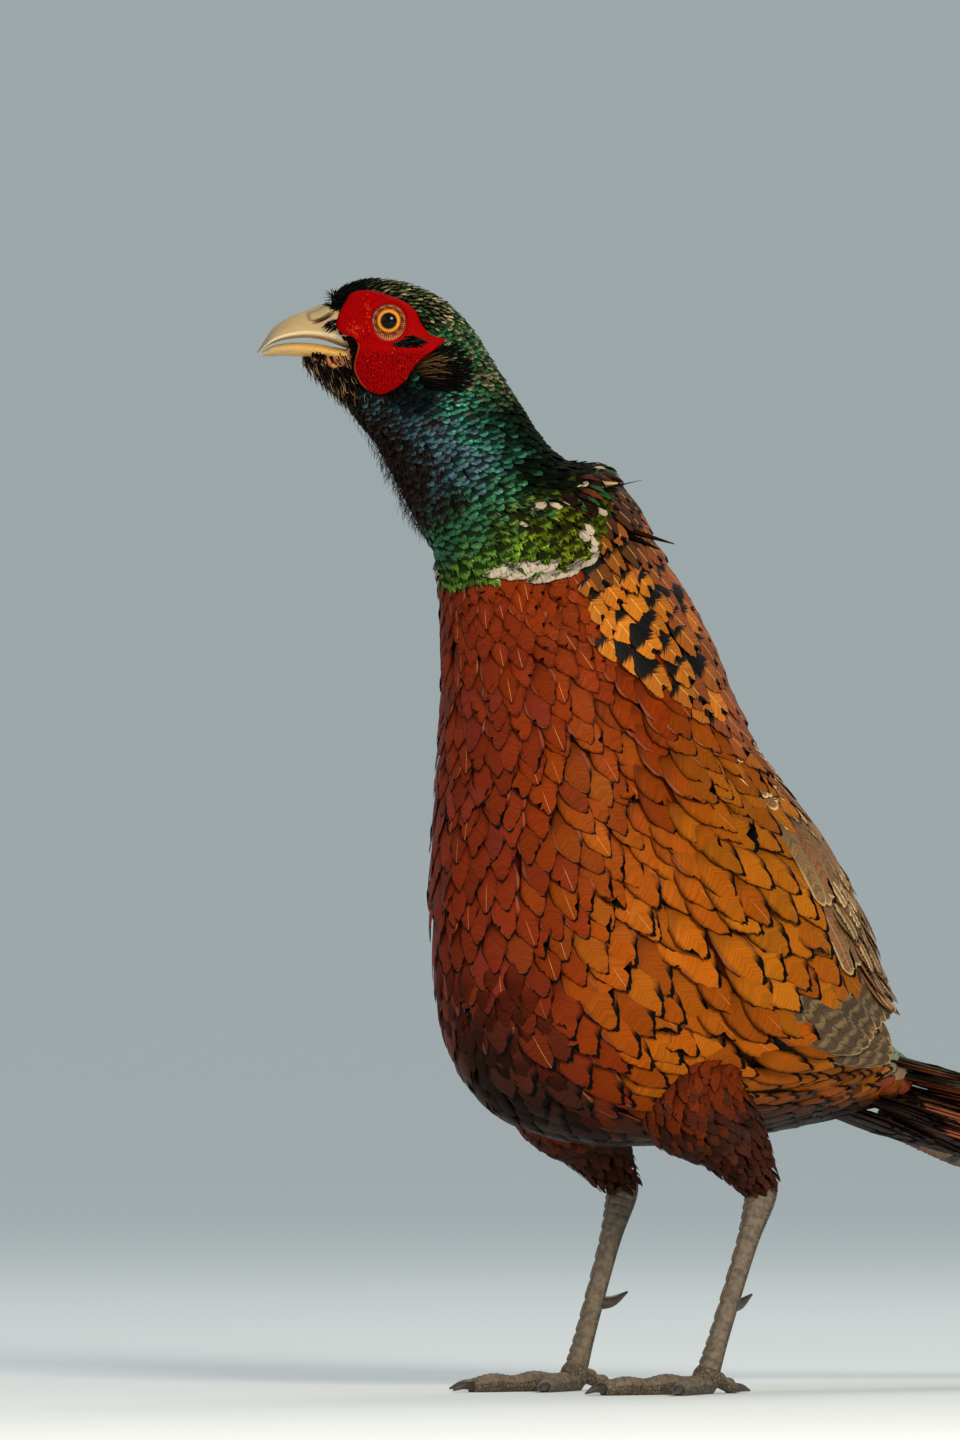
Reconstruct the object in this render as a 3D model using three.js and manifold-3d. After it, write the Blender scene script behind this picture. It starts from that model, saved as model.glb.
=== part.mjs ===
// Common pheasant, adult male, standing upright with its head turned to its right.
// Millimetres, +Z up. The body faces -X, the bird's left is -Y, and the floor is z = 0.
import * as THREE from 'three';
import { mergeVertices } from 'three/addons/utils/BufferGeometryUtils.js';
import Module from 'manifold-3d';

const wasm = await Module();
wasm.setup();

// Driving dimensions
const GAP = 0.3; // left between neighbouring pieces
const HEAD_TURN = THREE.MathUtils.degToRad(40); // to the bird's right, away from the breast
const EYE_LINE = new THREE.Vector3(-31, 15.5, 397.5); // the point midway between the eyes
const RING_SIDES = 28;
const RINGS_PER_STEP = 2;

// Trunk, in the bird's middle plane: belly point, back point and half width of each section
const TRUNK = [
  { belly: [-12, 304], back: [60, 340], half: 32 },
  { belly: [-8, 264], back: [88, 294], half: 41 },
  { belly: [-9, 219], back: [108, 250], half: 50 },
  { belly: [-11, 174], back: [142, 210], half: 57 },
  { belly: [-4, 132], back: [162, 180], half: 60 },
  { belly: [15, 105], back: [173, 158], half: 56 },
  { belly: [50, 93], back: [180, 147], half: 49 },
  { belly: [90, 92], back: [185, 139], half: 40 },
  { belly: [124, 95], back: [189, 133], half: 31 },
  { belly: [150, 98], back: [193, 130], half: 24 },
  { belly: [170, 101], back: [198, 127], half: 19 },
];

// Neck and head, seen from the side: forward and up from the eye, half width, and how far
// the section stands off the head's own plane and is turned back towards the body's
const NECK = [
  { throat: [-14, -82], nape: [-66, -51], half: 28, off: -17, turn: 28 },
  { throat: [-7.5, -69], nape: [-57, -43], half: 26, off: -11, turn: 20 },
  { throat: [-1, -56], nape: [-50, -33], half: 25, off: -6, turn: 12 },
  { throat: [4.5, -46], nape: [-44, -23.5], half: 24, off: -2, turn: 6 },
  { throat: [10.5, -38], nape: [-37.5, -13.5], half: 22, off: 0, turn: 0 },
];
const HEAD = [
  { throat: [15.5, -31.5], nape: [-30, -2], half: 19.5 },
  { throat: [19.5, -27], nape: [-20, 8], half: 18.2 },
  { throat: [21.5, -24], nape: [-7, 14], half: 16.8 },
  { throat: [22.5, -20.5], nape: [6, 15.8], half: 14.6 },
  { throat: [22.5, -16.5], nape: [15.5, 13.8], half: 11.8 },
  { throat: [21.5, -12.5], nape: [21.5, 8.8], half: 8.2 },
];
const CHIN = [
  { ahead: 12, top: -12, bottom: -32, half: 13 },
  { ahead: 18, top: -11, bottom: -27, half: 11.5 },
  { ahead: 24, top: -10.5, bottom: -22.5, half: 8.8 },
  { ahead: 29, top: -11, bottom: -18, half: 5.6 },
  { ahead: 33.5, top: -12, bottom: -14.2, half: 2.4 },
];

// Bill, seen from the side: ridge and cutting edge of the upper half, edge and keel of the lower
const UPPER_BILL = [
  { ridge: [16, 4], edge: [10, -9.6], half: 7.6 },
  { ridge: [21, 6.2], edge: [15.3, -9.7], half: 8.8 },
  { ridge: [24.5, 6.6], edge: [19, -8.7], half: 8.3 },
  { ridge: [29.4, 4.6], edge: [24.5, -6.8], half: 7.5 },
  { ridge: [34, 2.9], edge: [31, -5.6], half: 6.6 },
  { ridge: [38.6, 0.8], edge: [37.5, -6], half: 5.4 },
  { ridge: [42.6, -2.2], edge: [42.4, -7.5], half: 4 },
  { ridge: [45.6, -6.2], edge: [45.6, -9.4], half: 2.4 },
  { ridge: [48.7, -11.2], edge: [48.4, -12.2], half: 0.6 },
];
const LOWER_BILL = [
  { ridge: [10, -11.4], edge: [10, -16], half: 7.4 },
  { ridge: [15.3, -11.6], edge: [15.3, -17], half: 8.4 },
  { ridge: [20, -10.6], edge: [20.5, -15.8], half: 7.6 },
  { ridge: [25, -9.2], edge: [25.5, -14.4], half: 6.8 },
  { ridge: [31, -8.2], edge: [31.5, -13.4], half: 5.8 },
  { ridge: [37, -8.4], edge: [37.2, -12.9], half: 4.6 },
  { ridge: [42.5, -9.6], edge: [42.6, -12.9], half: 3.2 },
  { ridge: [46.6, -11.8], edge: [46.6, -12.9], half: 1.2 },
];
const NOSTRIL = { ahead: 22.4, above: 1.2, left: 7.8, long: 3.4, high: 1.1, deep: 2 };

// Eye and the bare red skin round it
const EYE = { radius: 6.2, depth: 14.1, lidRadius: 5.4, lidThick: 0.9, lidDepth: 17.9 };
const FACE_SKIN_THICK = 1.2;
const FACE_SKIN = [
  [13.4, 10.8], [7, 11.5], [0, 9.6], [-6.2, 7], [-10, 3.6], [-12.4, -1.6], [-16, -5.3],
  [-20.7, -7.2], [-13.6, -13.3], [-9.8, -16.6], [-6.2, -22], [-1.9, -25.4], [3, -27.2],
  [7.3, -26], [11, -22.3], [12.9, -16.6], [11.4, -9.4], [13.6, -6], [17.4, -4.6],
  [19.6, -1.4], [18.2, 3.4], [16, 7.4],
];

// Feather vanes: how thick they are and how far the shaft stands up from them
const VANE_THICK = 0.8;
const TIP_THIN = 0.35; // share of its thickness that a vane loses by its tip
const SHAFT_RIDGE = 0.3;
const VANE_CLEAR = 0.35; // between vanes that lie over one another
const ROOT_SUNK = 1.2; // how deep a covert's root lies in the wing's core

// Outlines of a vane: share of its length from the root, share of its half width
const ROUND_TIP = [[0, 0.6], [0.5, 1], [0.84, 0.84], [1, 0.3]];
const LONG_ROUND = [[0, 0.7], [0.4, 1], [0.88, 0.8], [1, 0.2]];
const POINTED = [[0, 0.62], [0.25, 1], [0.6, 0.86], [0.85, 0.52], [1, 0.08]];

// Wings, over the flanks: half width of the body that they wrap, per trunk section
const WING_WRAP = [32, 41, 51, 59, 62, 60, 56, 52, 47, 42, 37];
const WING_CORE = [
  { along: 1.1, high: 50, low: 76, thick: 1.6 },
  { along: 1.5, high: 34, low: 92, thick: 3.2 },
  { along: 2.2, high: 26, low: 98, thick: 4.4 },
  { along: 3, high: 24, low: 99, thick: 4.8 },
  { along: 3.8, high: 25, low: 99, thick: 4.8 },
  { along: 4.7, high: 34, low: 90, thick: 3 },
];
// Tiers of a wing's feathers: places of the first and the last root, and of their tips, as
// the trunk section and the degrees from the back. A tier whose feathers lie over one
// another covers more than its own pitch; its level is that of its middle line
const WING_TIERS = [
  {
    count: 4, cover: 3, outline: LONG_ROUND, level: [1.2, 1.4],
    roots: [[4.1, 66], [4.3, 87]], tips: [[6.9, 54], [7.4, 70]],
  },
  {
    count: 6, cover: 2.1, outline: LONG_ROUND, level: [3, 5.6],
    roots: [[3.5, 38], [3.8, 86]], tips: [[5.9, 36], [6.3, 74]],
  },
  {
    count: 5, cover: 1, outline: ROUND_TIP, rise: 4.2,
    roots: [[3.1, 35], [3.15, 90]], tips: [[4.5, 34], [4.6, 86]],
  },
  {
    count: 5, cover: 1, outline: ROUND_TIP, rise: 4,
    roots: [[2.55, 33], [2.6, 88]], tips: [[3.6, 32], [3.65, 90]],
  },
  {
    count: 4, cover: 1, outline: ROUND_TIP, rise: 4,
    roots: [[2, 35], [2, 86]], tips: [[3, 33], [3.05, 88]],
  },
  {
    count: 4, cover: 1, outline: ROUND_TIP, rise: 4,
    roots: [[1.5, 42], [1.5, 84]], tips: [[2.4, 36], [2.45, 86]],
  },
];

// Tail
const TAIL_ROOT = new THREE.Vector3(184, 0, 114);
const TAIL_DROOP = THREE.MathUtils.degToRad(13);
const TAIL_CORE = [
  { back: 30, half: 22, thick: 10.5, level: -3 },
  { back: 62, half: 19, thick: 5, level: -4.4 },
];
const TAIL_ROOF = 0.2; // slope of the vanes down to each side
const TAIL_PAIRS = [470, 415, 350, 295, 245, 205, 170, 140, 115];
const TAIL_HALF = 13.2; // half width of the longest feathers
const TAIL_NARROWER = 0.35; // how much narrower each pair is than the one above it
const TAIL_STEP_OUT = 4; // how much further out the second pair lies than the upper one
const TAIL_SPREAD = 0.6; // and each pair than the one above it
const TAIL_CROSSING = 4; // how far the left of the upper pair reaches over the middle line
const TAIL_START = 24; // where the roots are, inside the core
const TAIL_LEVEL = 1;
const RUMP_PLUMES = [
  { left: 5.5, back: 17, long: 86, level: 6.2, rise: -1.6 },
  { left: 15, back: 14, long: 70, level: 4.2, rise: -2.4 },
];
const VENT_PLUMES = [
  { left: 5.5, back: 12, long: 62, level: -12.6, rise: -2 },
  { left: 14.5, back: 10, long: 50, level: -11, rise: -1.5 },
];
const PLUME_HALF = 4.9;

// Legs
const HIP = [84, 27, 132];
const KNEE = [72, 35, 112];
const DRUMSTICK = [88, 40, 94];
const HOCK = [104, 40, 76];
const ANKLE_PAD = [78, 38, 6];
const TOES = [
  { name: 'middle', turn: 0, long: 50, thick: 4.2 },
  { name: 'inner', turn: 32, long: 36, thick: 3.8 },
  { name: 'outer', turn: -34, long: 38, thick: 3.8 },
  { name: 'hind', turn: 172, long: 15, thick: 3 },
];
const TOE_FLAT = 0.7; // how much of a toe's roundness its sole loses
const CLAW_LENGTH = 9;
const SPUR_LENGTH = 11;

// Frames
const forward = new THREE.Vector3(-Math.cos(HEAD_TURN), Math.sin(HEAD_TURN), 0);
const sideways = new THREE.Vector3(-Math.sin(HEAD_TURN), -Math.cos(HEAD_TURN), 0); // head's left
const up = new THREE.Vector3(0, 0, 1);
const across = new THREE.Vector3(0, -1, 0); // body's left

// A point of the head: forward, up and to its left of the point between the eyes
function headPoint(ahead, above, left = 0) {
  return EYE_LINE.clone()
    .addScaledVector(forward, ahead)
    .addScaledVector(up, above)
    .addScaledVector(sideways, left);
}

// A section is a centre with a half vector to its back and a half vector to its left
function trunkSection({ belly, back, half }) {
  const low = new THREE.Vector3(belly[0], 0, belly[1]);
  const high = new THREE.Vector3(back[0], 0, back[1]);
  return {
    centre: low.clone().add(high).multiplyScalar(0.5),
    rise: high.sub(low).multiplyScalar(0.5),
    reach: across.clone().multiplyScalar(half),
  };
}

function neckSection({ throat, nape, half, off = 0, turn = 0 }) {
  const low = headPoint(throat[0], throat[1], off);
  const high = headPoint(nape[0], nape[1], off);
  const centre = low.clone().add(high).multiplyScalar(0.5);
  const rise = high.sub(low).multiplyScalar(0.5);
  const axis = new THREE.Vector3().crossVectors(sideways, rise).normalize();
  const angle = THREE.MathUtils.degToRad(turn);
  return {
    centre,
    rise: rise.applyAxisAngle(axis, angle),
    reach: sideways.clone().applyAxisAngle(axis, angle).multiplyScalar(half),
  };
}

// The whole body as one run of sections, tail end last
const BODY = [...HEAD.slice().reverse(), ...NECK.slice().reverse()]
  .map(neckSection)
  .concat(TRUNK.map(trunkSection));
const FACE = 0; // the bill's root
const NECK_TOP = HEAD.length;
const TRUNK_TOP = HEAD.length + NECK.length;
const RUMP = BODY.length - 1;
const curves = {
  centre: new THREE.CatmullRomCurve3(BODY.map((s) => s.centre), false, 'catmullrom', 0.5),
  rise: new THREE.CatmullRomCurve3(BODY.map((s) => s.rise), false, 'catmullrom', 0.5),
  reach: new THREE.CatmullRomCurve3(BODY.map((s) => s.reach), false, 'catmullrom', 0.5),
};

function sectionAt(station) {
  const t = THREE.MathUtils.clamp(station / RUMP, 0, 1);
  return {
    centre: curves.centre.getPoint(t),
    rise: curves.rise.getPoint(t),
    reach: curves.reach.getPoint(t),
  };
}

// A point on the body: station along it, angle from the back round the left side, height off it
function bodyPoint(station, angle, height = 0, shift = 0) {
  const { centre, rise, reach } = sectionAt(station);
  const high = rise.length() + height;
  const wide = reach.length() + height;
  const axis = new THREE.Vector3().crossVectors(rise, reach).normalize();
  return centre
    .addScaledVector(rise.normalize(), Math.cos(angle) * high)
    .addScaledVector(reach.normalize(), Math.sin(angle) * wide)
    .addScaledVector(axis, shift);
}

// A closed body from rings of points, each ring with the same count
function loft(rings) {
  const sides = rings[0].length;
  const points = rings.flat();
  const faces = [];
  for (let i = 0; i + 1 < rings.length; i++) {
    for (let j = 0; j < sides; j++) {
      const a = i * sides + j;
      const b = i * sides + ((j + 1) % sides);
      faces.push(a, b, a + sides, b, b + sides, a + sides);
    }
  }
  for (const [ring, start, flip] of [
    [rings[0], 0, true],
    [rings.at(-1), (rings.length - 1) * sides, false],
  ]) {
    const middle = new THREE.Vector3();
    ring.forEach((p) => middle.addScaledVector(p, 1 / sides));
    points.push(middle);
    const hub = points.length - 1;
    for (let j = 0; j < sides; j++) {
      const a = start + j;
      const b = start + ((j + 1) % sides);
      faces.push(...(flip ? [hub, b, a] : [hub, a, b]));
    }
  }
  return solidFrom(points, faces);
}

function solidFrom(points, faces) {
  const make = (triangles) =>
    new wasm.Manifold(
      new wasm.Mesh({
        numProp: 3,
        vertProperties: new Float32Array(points.flatMap((p) => [p.x, p.y, p.z])),
        triVerts: new Uint32Array(triangles),
      }),
    );
  const made = make(faces);
  if (made.volume() > 0) return made;
  const turned = [];
  for (let i = 0; i < faces.length; i += 3) turned.push(faces[i], faces[i + 2], faces[i + 1]);
  return make(turned);
}

// A three.js geometry as a solid
function solidOf(geometry) {
  const bare = new THREE.BufferGeometry();
  bare.setAttribute('position', geometry.getAttribute('position'));
  if (geometry.index) bare.setIndex(geometry.index);
  const merged = mergeVertices(bare, 1e-4);
  const position = merged.getAttribute('position');
  const points = [];
  for (let i = 0; i < position.count; i++) {
    points.push(new THREE.Vector3().fromBufferAttribute(position, i));
  }
  return solidFrom(points, [...merged.index.array]);
}

function ball(centre, radius, detail = 14) {
  const sphere = new THREE.SphereGeometry(radius, detail, Math.round(detail * 0.6));
  sphere.rotateX(Math.PI / 2);
  return solidOf(sphere.translate(centre.x, centre.y, centre.z));
}

// A stretch of the body from one station to another, grown by some millimetres
function bodyStretch(from, to, grow = 0, trimStart = 0, trimEnd = 0) {
  const steps = Math.round((to - from) * RINGS_PER_STEP);
  const rings = [];
  for (let i = 0; i <= steps; i++) {
    const station = from + ((to - from) * i) / steps;
    const shift = i === 0 ? -trimStart : i === steps ? trimEnd : 0;
    const ring = [];
    for (let j = 0; j < RING_SIDES; j++) {
      ring.push(bodyPoint(station, (2 * Math.PI * j) / RING_SIDES, grow, shift));
    }
    rings.push(ring);
  }
  return loft(rings);
}

// The largest closed surface of a solid
function largest(solid) {
  return solid.decompose().sort((a, b) => b.volume() - a.volume())[0];
}

// A limb: a tapered tube through points, with a radius at each
function limb(points, radii, sides = 10, steps = 3) {
  const line = new THREE.CatmullRomCurve3(points, false, 'catmullrom', 0.5);
  const count = (points.length - 1) * steps;
  const rings = [];
  const level = new THREE.Vector3(0, 1, 0);
  for (let i = 0; i <= count; i++) {
    const t = i / count;
    const at = t * (radii.length - 1);
    const k = Math.min(Math.floor(at), radii.length - 2);
    const radius = THREE.MathUtils.lerp(radii[k], radii[k + 1], at - k);
    const tangent = line.getTangent(t);
    const first = new THREE.Vector3().crossVectors(level, tangent).normalize();
    const second = new THREE.Vector3().crossVectors(tangent, first).normalize();
    const centre = line.getPoint(t);
    const ring = [];
    for (let j = 0; j < sides; j++) {
      const angle = (2 * Math.PI * j) / sides;
      ring.push(
        centre.clone()
          .addScaledVector(first, Math.cos(angle) * radius)
          .addScaledVector(second, Math.sin(angle) * radius),
      );
    }
    rings.push(ring);
  }
  return loft(rings);
}

// A feather's vane: a thin plate raised along its shaft, with its triangles alike on both
// faces. place(share, across, height) gives a point from the share of its length
function vane(place, { half, outline, tilt = 0 }) {
  const rows = outline.length;
  const points = [];
  for (const under of [0, 1]) {
    for (const [share, wide] of outline) {
      const thick = VANE_THICK * (1 - TIP_THIN * share);
      for (const x of [-1, 0, 1]) {
        const ridge = x === 0 ? SHAFT_RIDGE : 0;
        points.push(place(share, x * half * wide, tilt * x * wide + ridge - under * thick));
      }
    }
  }
  const id = (under, row, column) => (under * rows + row) * 3 + column;
  const faces = [];
  const quad = (a, b, c, d) => faces.push(a, b, c, a, c, d);
  for (let i = 0; i + 1 < rows; i++) {
    for (const j of [0, 1]) {
      quad(id(0, i, j), id(0, i + 1, j), id(0, i + 1, j + 1), id(0, i, j + 1));
      const [a, b, c, d] = [id(1, i, j), id(1, i + 1, j), id(1, i + 1, j + 1), id(1, i, j + 1)];
      faces.push(a, c, b, a, d, c);
    }
    quad(id(0, i, 0), id(1, i, 0), id(1, i + 1, 0), id(0, i + 1, 0));
    quad(id(0, i, 2), id(0, i + 1, 2), id(1, i + 1, 2), id(1, i, 2));
  }
  const last = rows - 1;
  for (const j of [0, 1]) {
    quad(id(0, 0, j), id(0, 0, j + 1), id(1, 0, j + 1), id(1, 0, j));
    quad(id(0, last, j), id(1, last, j), id(1, last, j + 1), id(0, last, j + 1));
  }
  return solidFrom(points, faces);
}

// Materials
const finish = (color, roughness, metalness = 0) =>
  new THREE.MeshStandardMaterial({ color, roughness, metalness });
const breastFeather = finish(0x8a3a1c, 0.6);
const neckFeather = finish(0x1c5a4c, 0.35, 0.3);
const crownFeather = finish(0x24402c, 0.45, 0.2);
const wingFeather = finish(0x8f7a5c, 0.65);
const tailFeather = finish(0x9a8458, 0.65);
const thighFeather = finish(0x3a241a, 0.75);
const horn = finish(0xcbb078, 0.4);
const redSkin = finish(0xb0120e, 0.7);
const eyeGlaze = finish(0xe09a20, 0.1);
const scaledSkin = finish(0x8d857a, 0.6);
const darkHorn = finish(0x3c342c, 0.45);

const bird = new THREE.Group();

function addNode(name, solid, material) {
  const raw = largest(solid).getMesh();
  const geometry = new THREE.BufferGeometry();
  const flat = new Float32Array((raw.vertProperties.length / raw.numProp) * 3);
  for (let i = 0; i < flat.length / 3; i++) {
    for (let k = 0; k < 3; k++) flat[i * 3 + k] = raw.vertProperties[i * raw.numProp + k];
  }
  geometry.setAttribute('position', new THREE.BufferAttribute(flat, 3));
  geometry.setIndex(new THREE.BufferAttribute(raw.triVerts, 1));
  const mesh = new THREE.Mesh(geometry, material);
  mesh.name = name;
  bird.add(mesh);
}

// Bill halves: rings of a rounded wedge, narrow at the ridge
function billHalf(rows, grow = 0, keelDown = false) {
  const sides = 12;
  const rings = rows.map(({ ridge, edge, half }, i) => {
    const behind = i === 0 ? grow : 0;
    const top = headPoint(ridge[0] - behind, ridge[1] + grow);
    const low = headPoint(edge[0] - behind, edge[1] - grow);
    const centre = top.clone().add(low).multiplyScalar(0.5);
    const rise = top.sub(low).multiplyScalar(0.5);
    const ring = [];
    for (let j = 0; j < sides; j++) {
      const angle = (2 * Math.PI * j) / sides;
      const level = Math.cos(angle);
      const pinch = keelDown ? 1 + 0.25 * level : 1 - 0.3 * level;
      ring.push(
        centre.clone()
          .addScaledVector(rise, level)
          .addScaledVector(sideways, Math.sin(angle) * (half + grow) * pinch),
      );
    }
    return ring;
  });
  return loft(rings);
}

function chin(grow = 0) {
  const sides = 14;
  return loft(
    CHIN.map(({ ahead, top, bottom, half }) => {
      const ring = [];
      for (let j = 0; j < sides; j++) {
        const angle = (2 * Math.PI * j) / sides;
        const middle = (top + bottom) / 2;
        const tall = (top - bottom) / 2 + grow;
        ring.push(
          headPoint(ahead, middle + Math.cos(angle) * tall, Math.sin(angle) * (half + grow)),
        );
      }
      return ring;
    }),
  );
}

// The red skin's outline as a block through one side of the head
function skinBlock(side) {
  const outline = new THREE.CatmullRomCurve3(
    FACE_SKIN.map(([a, b]) => new THREE.Vector3(a, b, 0)), true, 'catmullrom', 0.5,
  ).getPoints(32);
  const shape = new THREE.Shape(outline.slice(0, -1).map((p) => new THREE.Vector2(p.x, p.y)));
  const block = new THREE.ExtrudeGeometry(shape, { depth: 22, bevelEnabled: false });
  const basis = new THREE.Matrix4().makeBasis(
    forward.clone(), up.clone(), sideways.clone().multiplyScalar(side),
  );
  block.applyMatrix4(basis.setPosition(headPoint(0, 0, side * 4)));
  return solidOf(block);
}

function lidRing(side) {
  const ring = new THREE.TorusGeometry(EYE.lidRadius, EYE.lidThick, 6, 16);
  const basis = new THREE.Matrix4().makeBasis(
    forward.clone(), up.clone(), sideways.clone().multiplyScalar(side),
  );
  ring.applyMatrix4(basis.setPosition(headPoint(0, 0, side * EYE.lidDepth)));
  return solidOf(ring);
}

// A slot for the nostril on one side
function nostrilSlot(side) {
  const slot = new THREE.SphereGeometry(1, 10, 8);
  slot.scale(NOSTRIL.long, NOSTRIL.high, NOSTRIL.deep);
  slot.rotateZ(-0.45);
  const basis = new THREE.Matrix4().makeBasis(
    forward.clone(), up.clone(), sideways.clone().multiplyScalar(side),
  );
  slot.applyMatrix4(
    basis.setPosition(headPoint(NOSTRIL.ahead, NOSTRIL.above, side * NOSTRIL.left)),
  );
  return solidOf(slot);
}

// Head
const SIDES = [
  { name: 'left', side: 1 },
  { name: 'right', side: -1 },
];
const trim = GAP / 2;
const headBody = (grow) => bodyStretch(FACE, NECK_TOP, grow, 0, 0).add(chin(grow));
const upperBill = billHalf(UPPER_BILL).subtract(nostrilSlot(1)).subtract(nostrilSlot(-1));
const lowerBill = billHalf(LOWER_BILL, 0, true);
const billRoom = billHalf(UPPER_BILL, GAP).add(billHalf(LOWER_BILL, GAP, true));
let head = bodyStretch(FACE, NECK_TOP, 0, 0, -trim).add(chin()).subtract(billRoom);
for (const { name, side } of SIDES) {
  const eyeCentre = headPoint(0, 0, side * EYE.depth);
  const eyeRoom = ball(eyeCentre, EYE.radius + GAP);
  head = head.subtract(eyeRoom);
  const skin = headBody(GAP + FACE_SKIN_THICK).intersect(skinBlock(side));
  const skinPlate = skin.add(lidRing(side)).subtract(headBody(GAP))
    .subtract(eyeRoom).subtract(billRoom);
  addNode(`face_skin_${name}`, skinPlate, redSkin);
  addNode(`eye_${name}`, ball(eyeCentre, EYE.radius), eyeGlaze);
}
addNode('head', head, crownFeather);
addNode('bill_upper', upperBill, horn);
addNode('bill_lower', lowerBill, horn);

// Neck and torso
addNode('neck', bodyStretch(NECK_TOP, TRUNK_TOP, 0, -trim, -trim), neckFeather);
const torsoRoom = bodyStretch(TRUNK_TOP, RUMP, GAP, 0, 0);
addNode('torso', bodyStretch(TRUNK_TOP, RUMP, 0, -trim, -trim), breastFeather);

// A point over the flank, on the surface that the folded wing wraps
function wingPoint(along, angle, height, side) {
  const { centre, rise } = sectionAt(TRUNK_TOP + along);
  const k = Math.min(Math.floor(along), WING_WRAP.length - 2);
  const half = THREE.MathUtils.lerp(WING_WRAP[k], WING_WRAP[k + 1], along - k);
  const high = rise.length() + height;
  return centre
    .addScaledVector(rise.normalize(), Math.cos(angle) * high)
    .addScaledVector(across, side * Math.sin(angle) * (half + height));
}

// How many mm one radian covers there
function wingRadius(along, angle) {
  const step = 0.01;
  return wingPoint(along, angle, 0, 1).distanceTo(wingPoint(along, angle + step, 0, 1)) / step;
}

// The flesh and down under the wing's feathers
const WING_CORE_EDGE = 0.7; // its thickness at the edges, as a share of its middle's
function wingCore(side) {
  const cells = 4;
  const rings = WING_CORE.map(({ along, high, low, thick }) => {
    const ring = [];
    for (const layer of [thick, -3]) {
      for (let j = 0; j <= cells; j++) {
        const share = layer > 0 ? j / cells : 1 - j / cells;
        const angle = THREE.MathUtils.degToRad(THREE.MathUtils.lerp(high, low, share));
        const edge = j === 0 || j === cells ? WING_CORE_EDGE : 1;
        ring.push(wingPoint(along, angle, layer > 0 ? layer * edge : layer, side));
      }
    }
    return ring;
  });
  return loft(rings).subtract(torsoRoom);
}

function wingCoreTop(along) {
  const after = WING_CORE.findIndex((row) => row.along > along);
  const [a, b] = [WING_CORE[after - 1], WING_CORE[after]];
  return THREE.MathUtils.mapLinear(along, a.along, b.along, a.thick, b.thick);
}

// One tier of the wing, side by side down the flank. Where its feathers overlap, each is
// tilted enough to pass under the one above it
function wingTier({ count, cover, outline, roots, tips, rise, level }, side) {
  const { lerp, degToRad } = THREE.MathUtils;
  const overlap = cover > 1;
  const tilt = overlap ? ((VANE_THICK + VANE_CLEAR + SHAFT_RIDGE) * cover) / 2 : 0;
  const edgeGap = overlap ? 0 : VANE_CLEAR / 2;
  const vanes = [];
  for (let i = 0; i < count; i++) {
    const line = (share, order) => [0, 1].map((k) =>
      lerp(lerp(roots[0][k], roots[1][k], order), lerp(tips[0][k], tips[1][k], order), share));
    const base = wingCoreTop(line(0, i / (count - 1))[0]) - ROOT_SUNK;
    const [start, end] = level ?? [base, base + rise];
    const place = (share, low, height) => {
      const [along, angle] = line(share, i / (count - 1));
      const pitch = (line(share, 1)[1] - line(share, 0)[1]) / (count - 1);
      const radius = wingRadius(along, degToRad(angle));
      const half = (degToRad(pitch) * cover) / 2 - edgeGap / radius;
      const lift = lerp(start, end, share) + height;
      return wingPoint(along, degToRad(angle) + low * half, lift, side);
    };
    vanes.push(vane(place, { half: 1, outline, tilt }));
  }
  return vanes;
}

function wing(side) {
  return WING_TIERS.flatMap((tier) => wingTier(tier, side))
    .reduce((whole, one) => whole.add(one), wingCore(side))
    .subtract(torsoRoom);
}
for (const { name, side } of SIDES) addNode(`wing_${name}`, wing(side), wingFeather);

// Tail frame: back along the tail, and up off it
const tailBack = new THREE.Vector3(Math.cos(TAIL_DROOP), 0, -Math.sin(TAIL_DROOP));
const tailUp = new THREE.Vector3(Math.sin(TAIL_DROOP), 0, Math.cos(TAIL_DROOP));
function tailPoint(back, left, above) {
  return TAIL_ROOT.clone()
    .addScaledVector(tailBack, back)
    .addScaledVector(across, left)
    .addScaledVector(tailUp, above);
}

// One tail feather: where its root is, how long and wide it is, and how far off the middle
// line its own line runs at a distance back
function tailVane({ back, line, level, long, half, roof = 0, rise = 0 }) {
  const place = (share, out, height) => {
    const way = back + share * long;
    const y = line(way) + out;
    return tailPoint(way, y, level + share * rise + height - Math.abs(y) * roof);
  };
  return vane(place, { half, outline: POINTED });
}

// The tail's upper pair lies side by side along the middle, and narrows to one point
function upperLine(back) {
  const share = THREE.MathUtils.clamp((back - TAIL_START) / (TAIL_PAIRS[0] - TAIL_START), 0, 1);
  const after = Math.max(1, POINTED.findIndex(([at]) => at >= share));
  const [[a, wide], [b, next]] = [POINTED[after - 1], POINTED[after]];
  return GAP + TAIL_HALF * THREE.MathUtils.mapLinear(share, a, b, wide, next);
}

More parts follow.
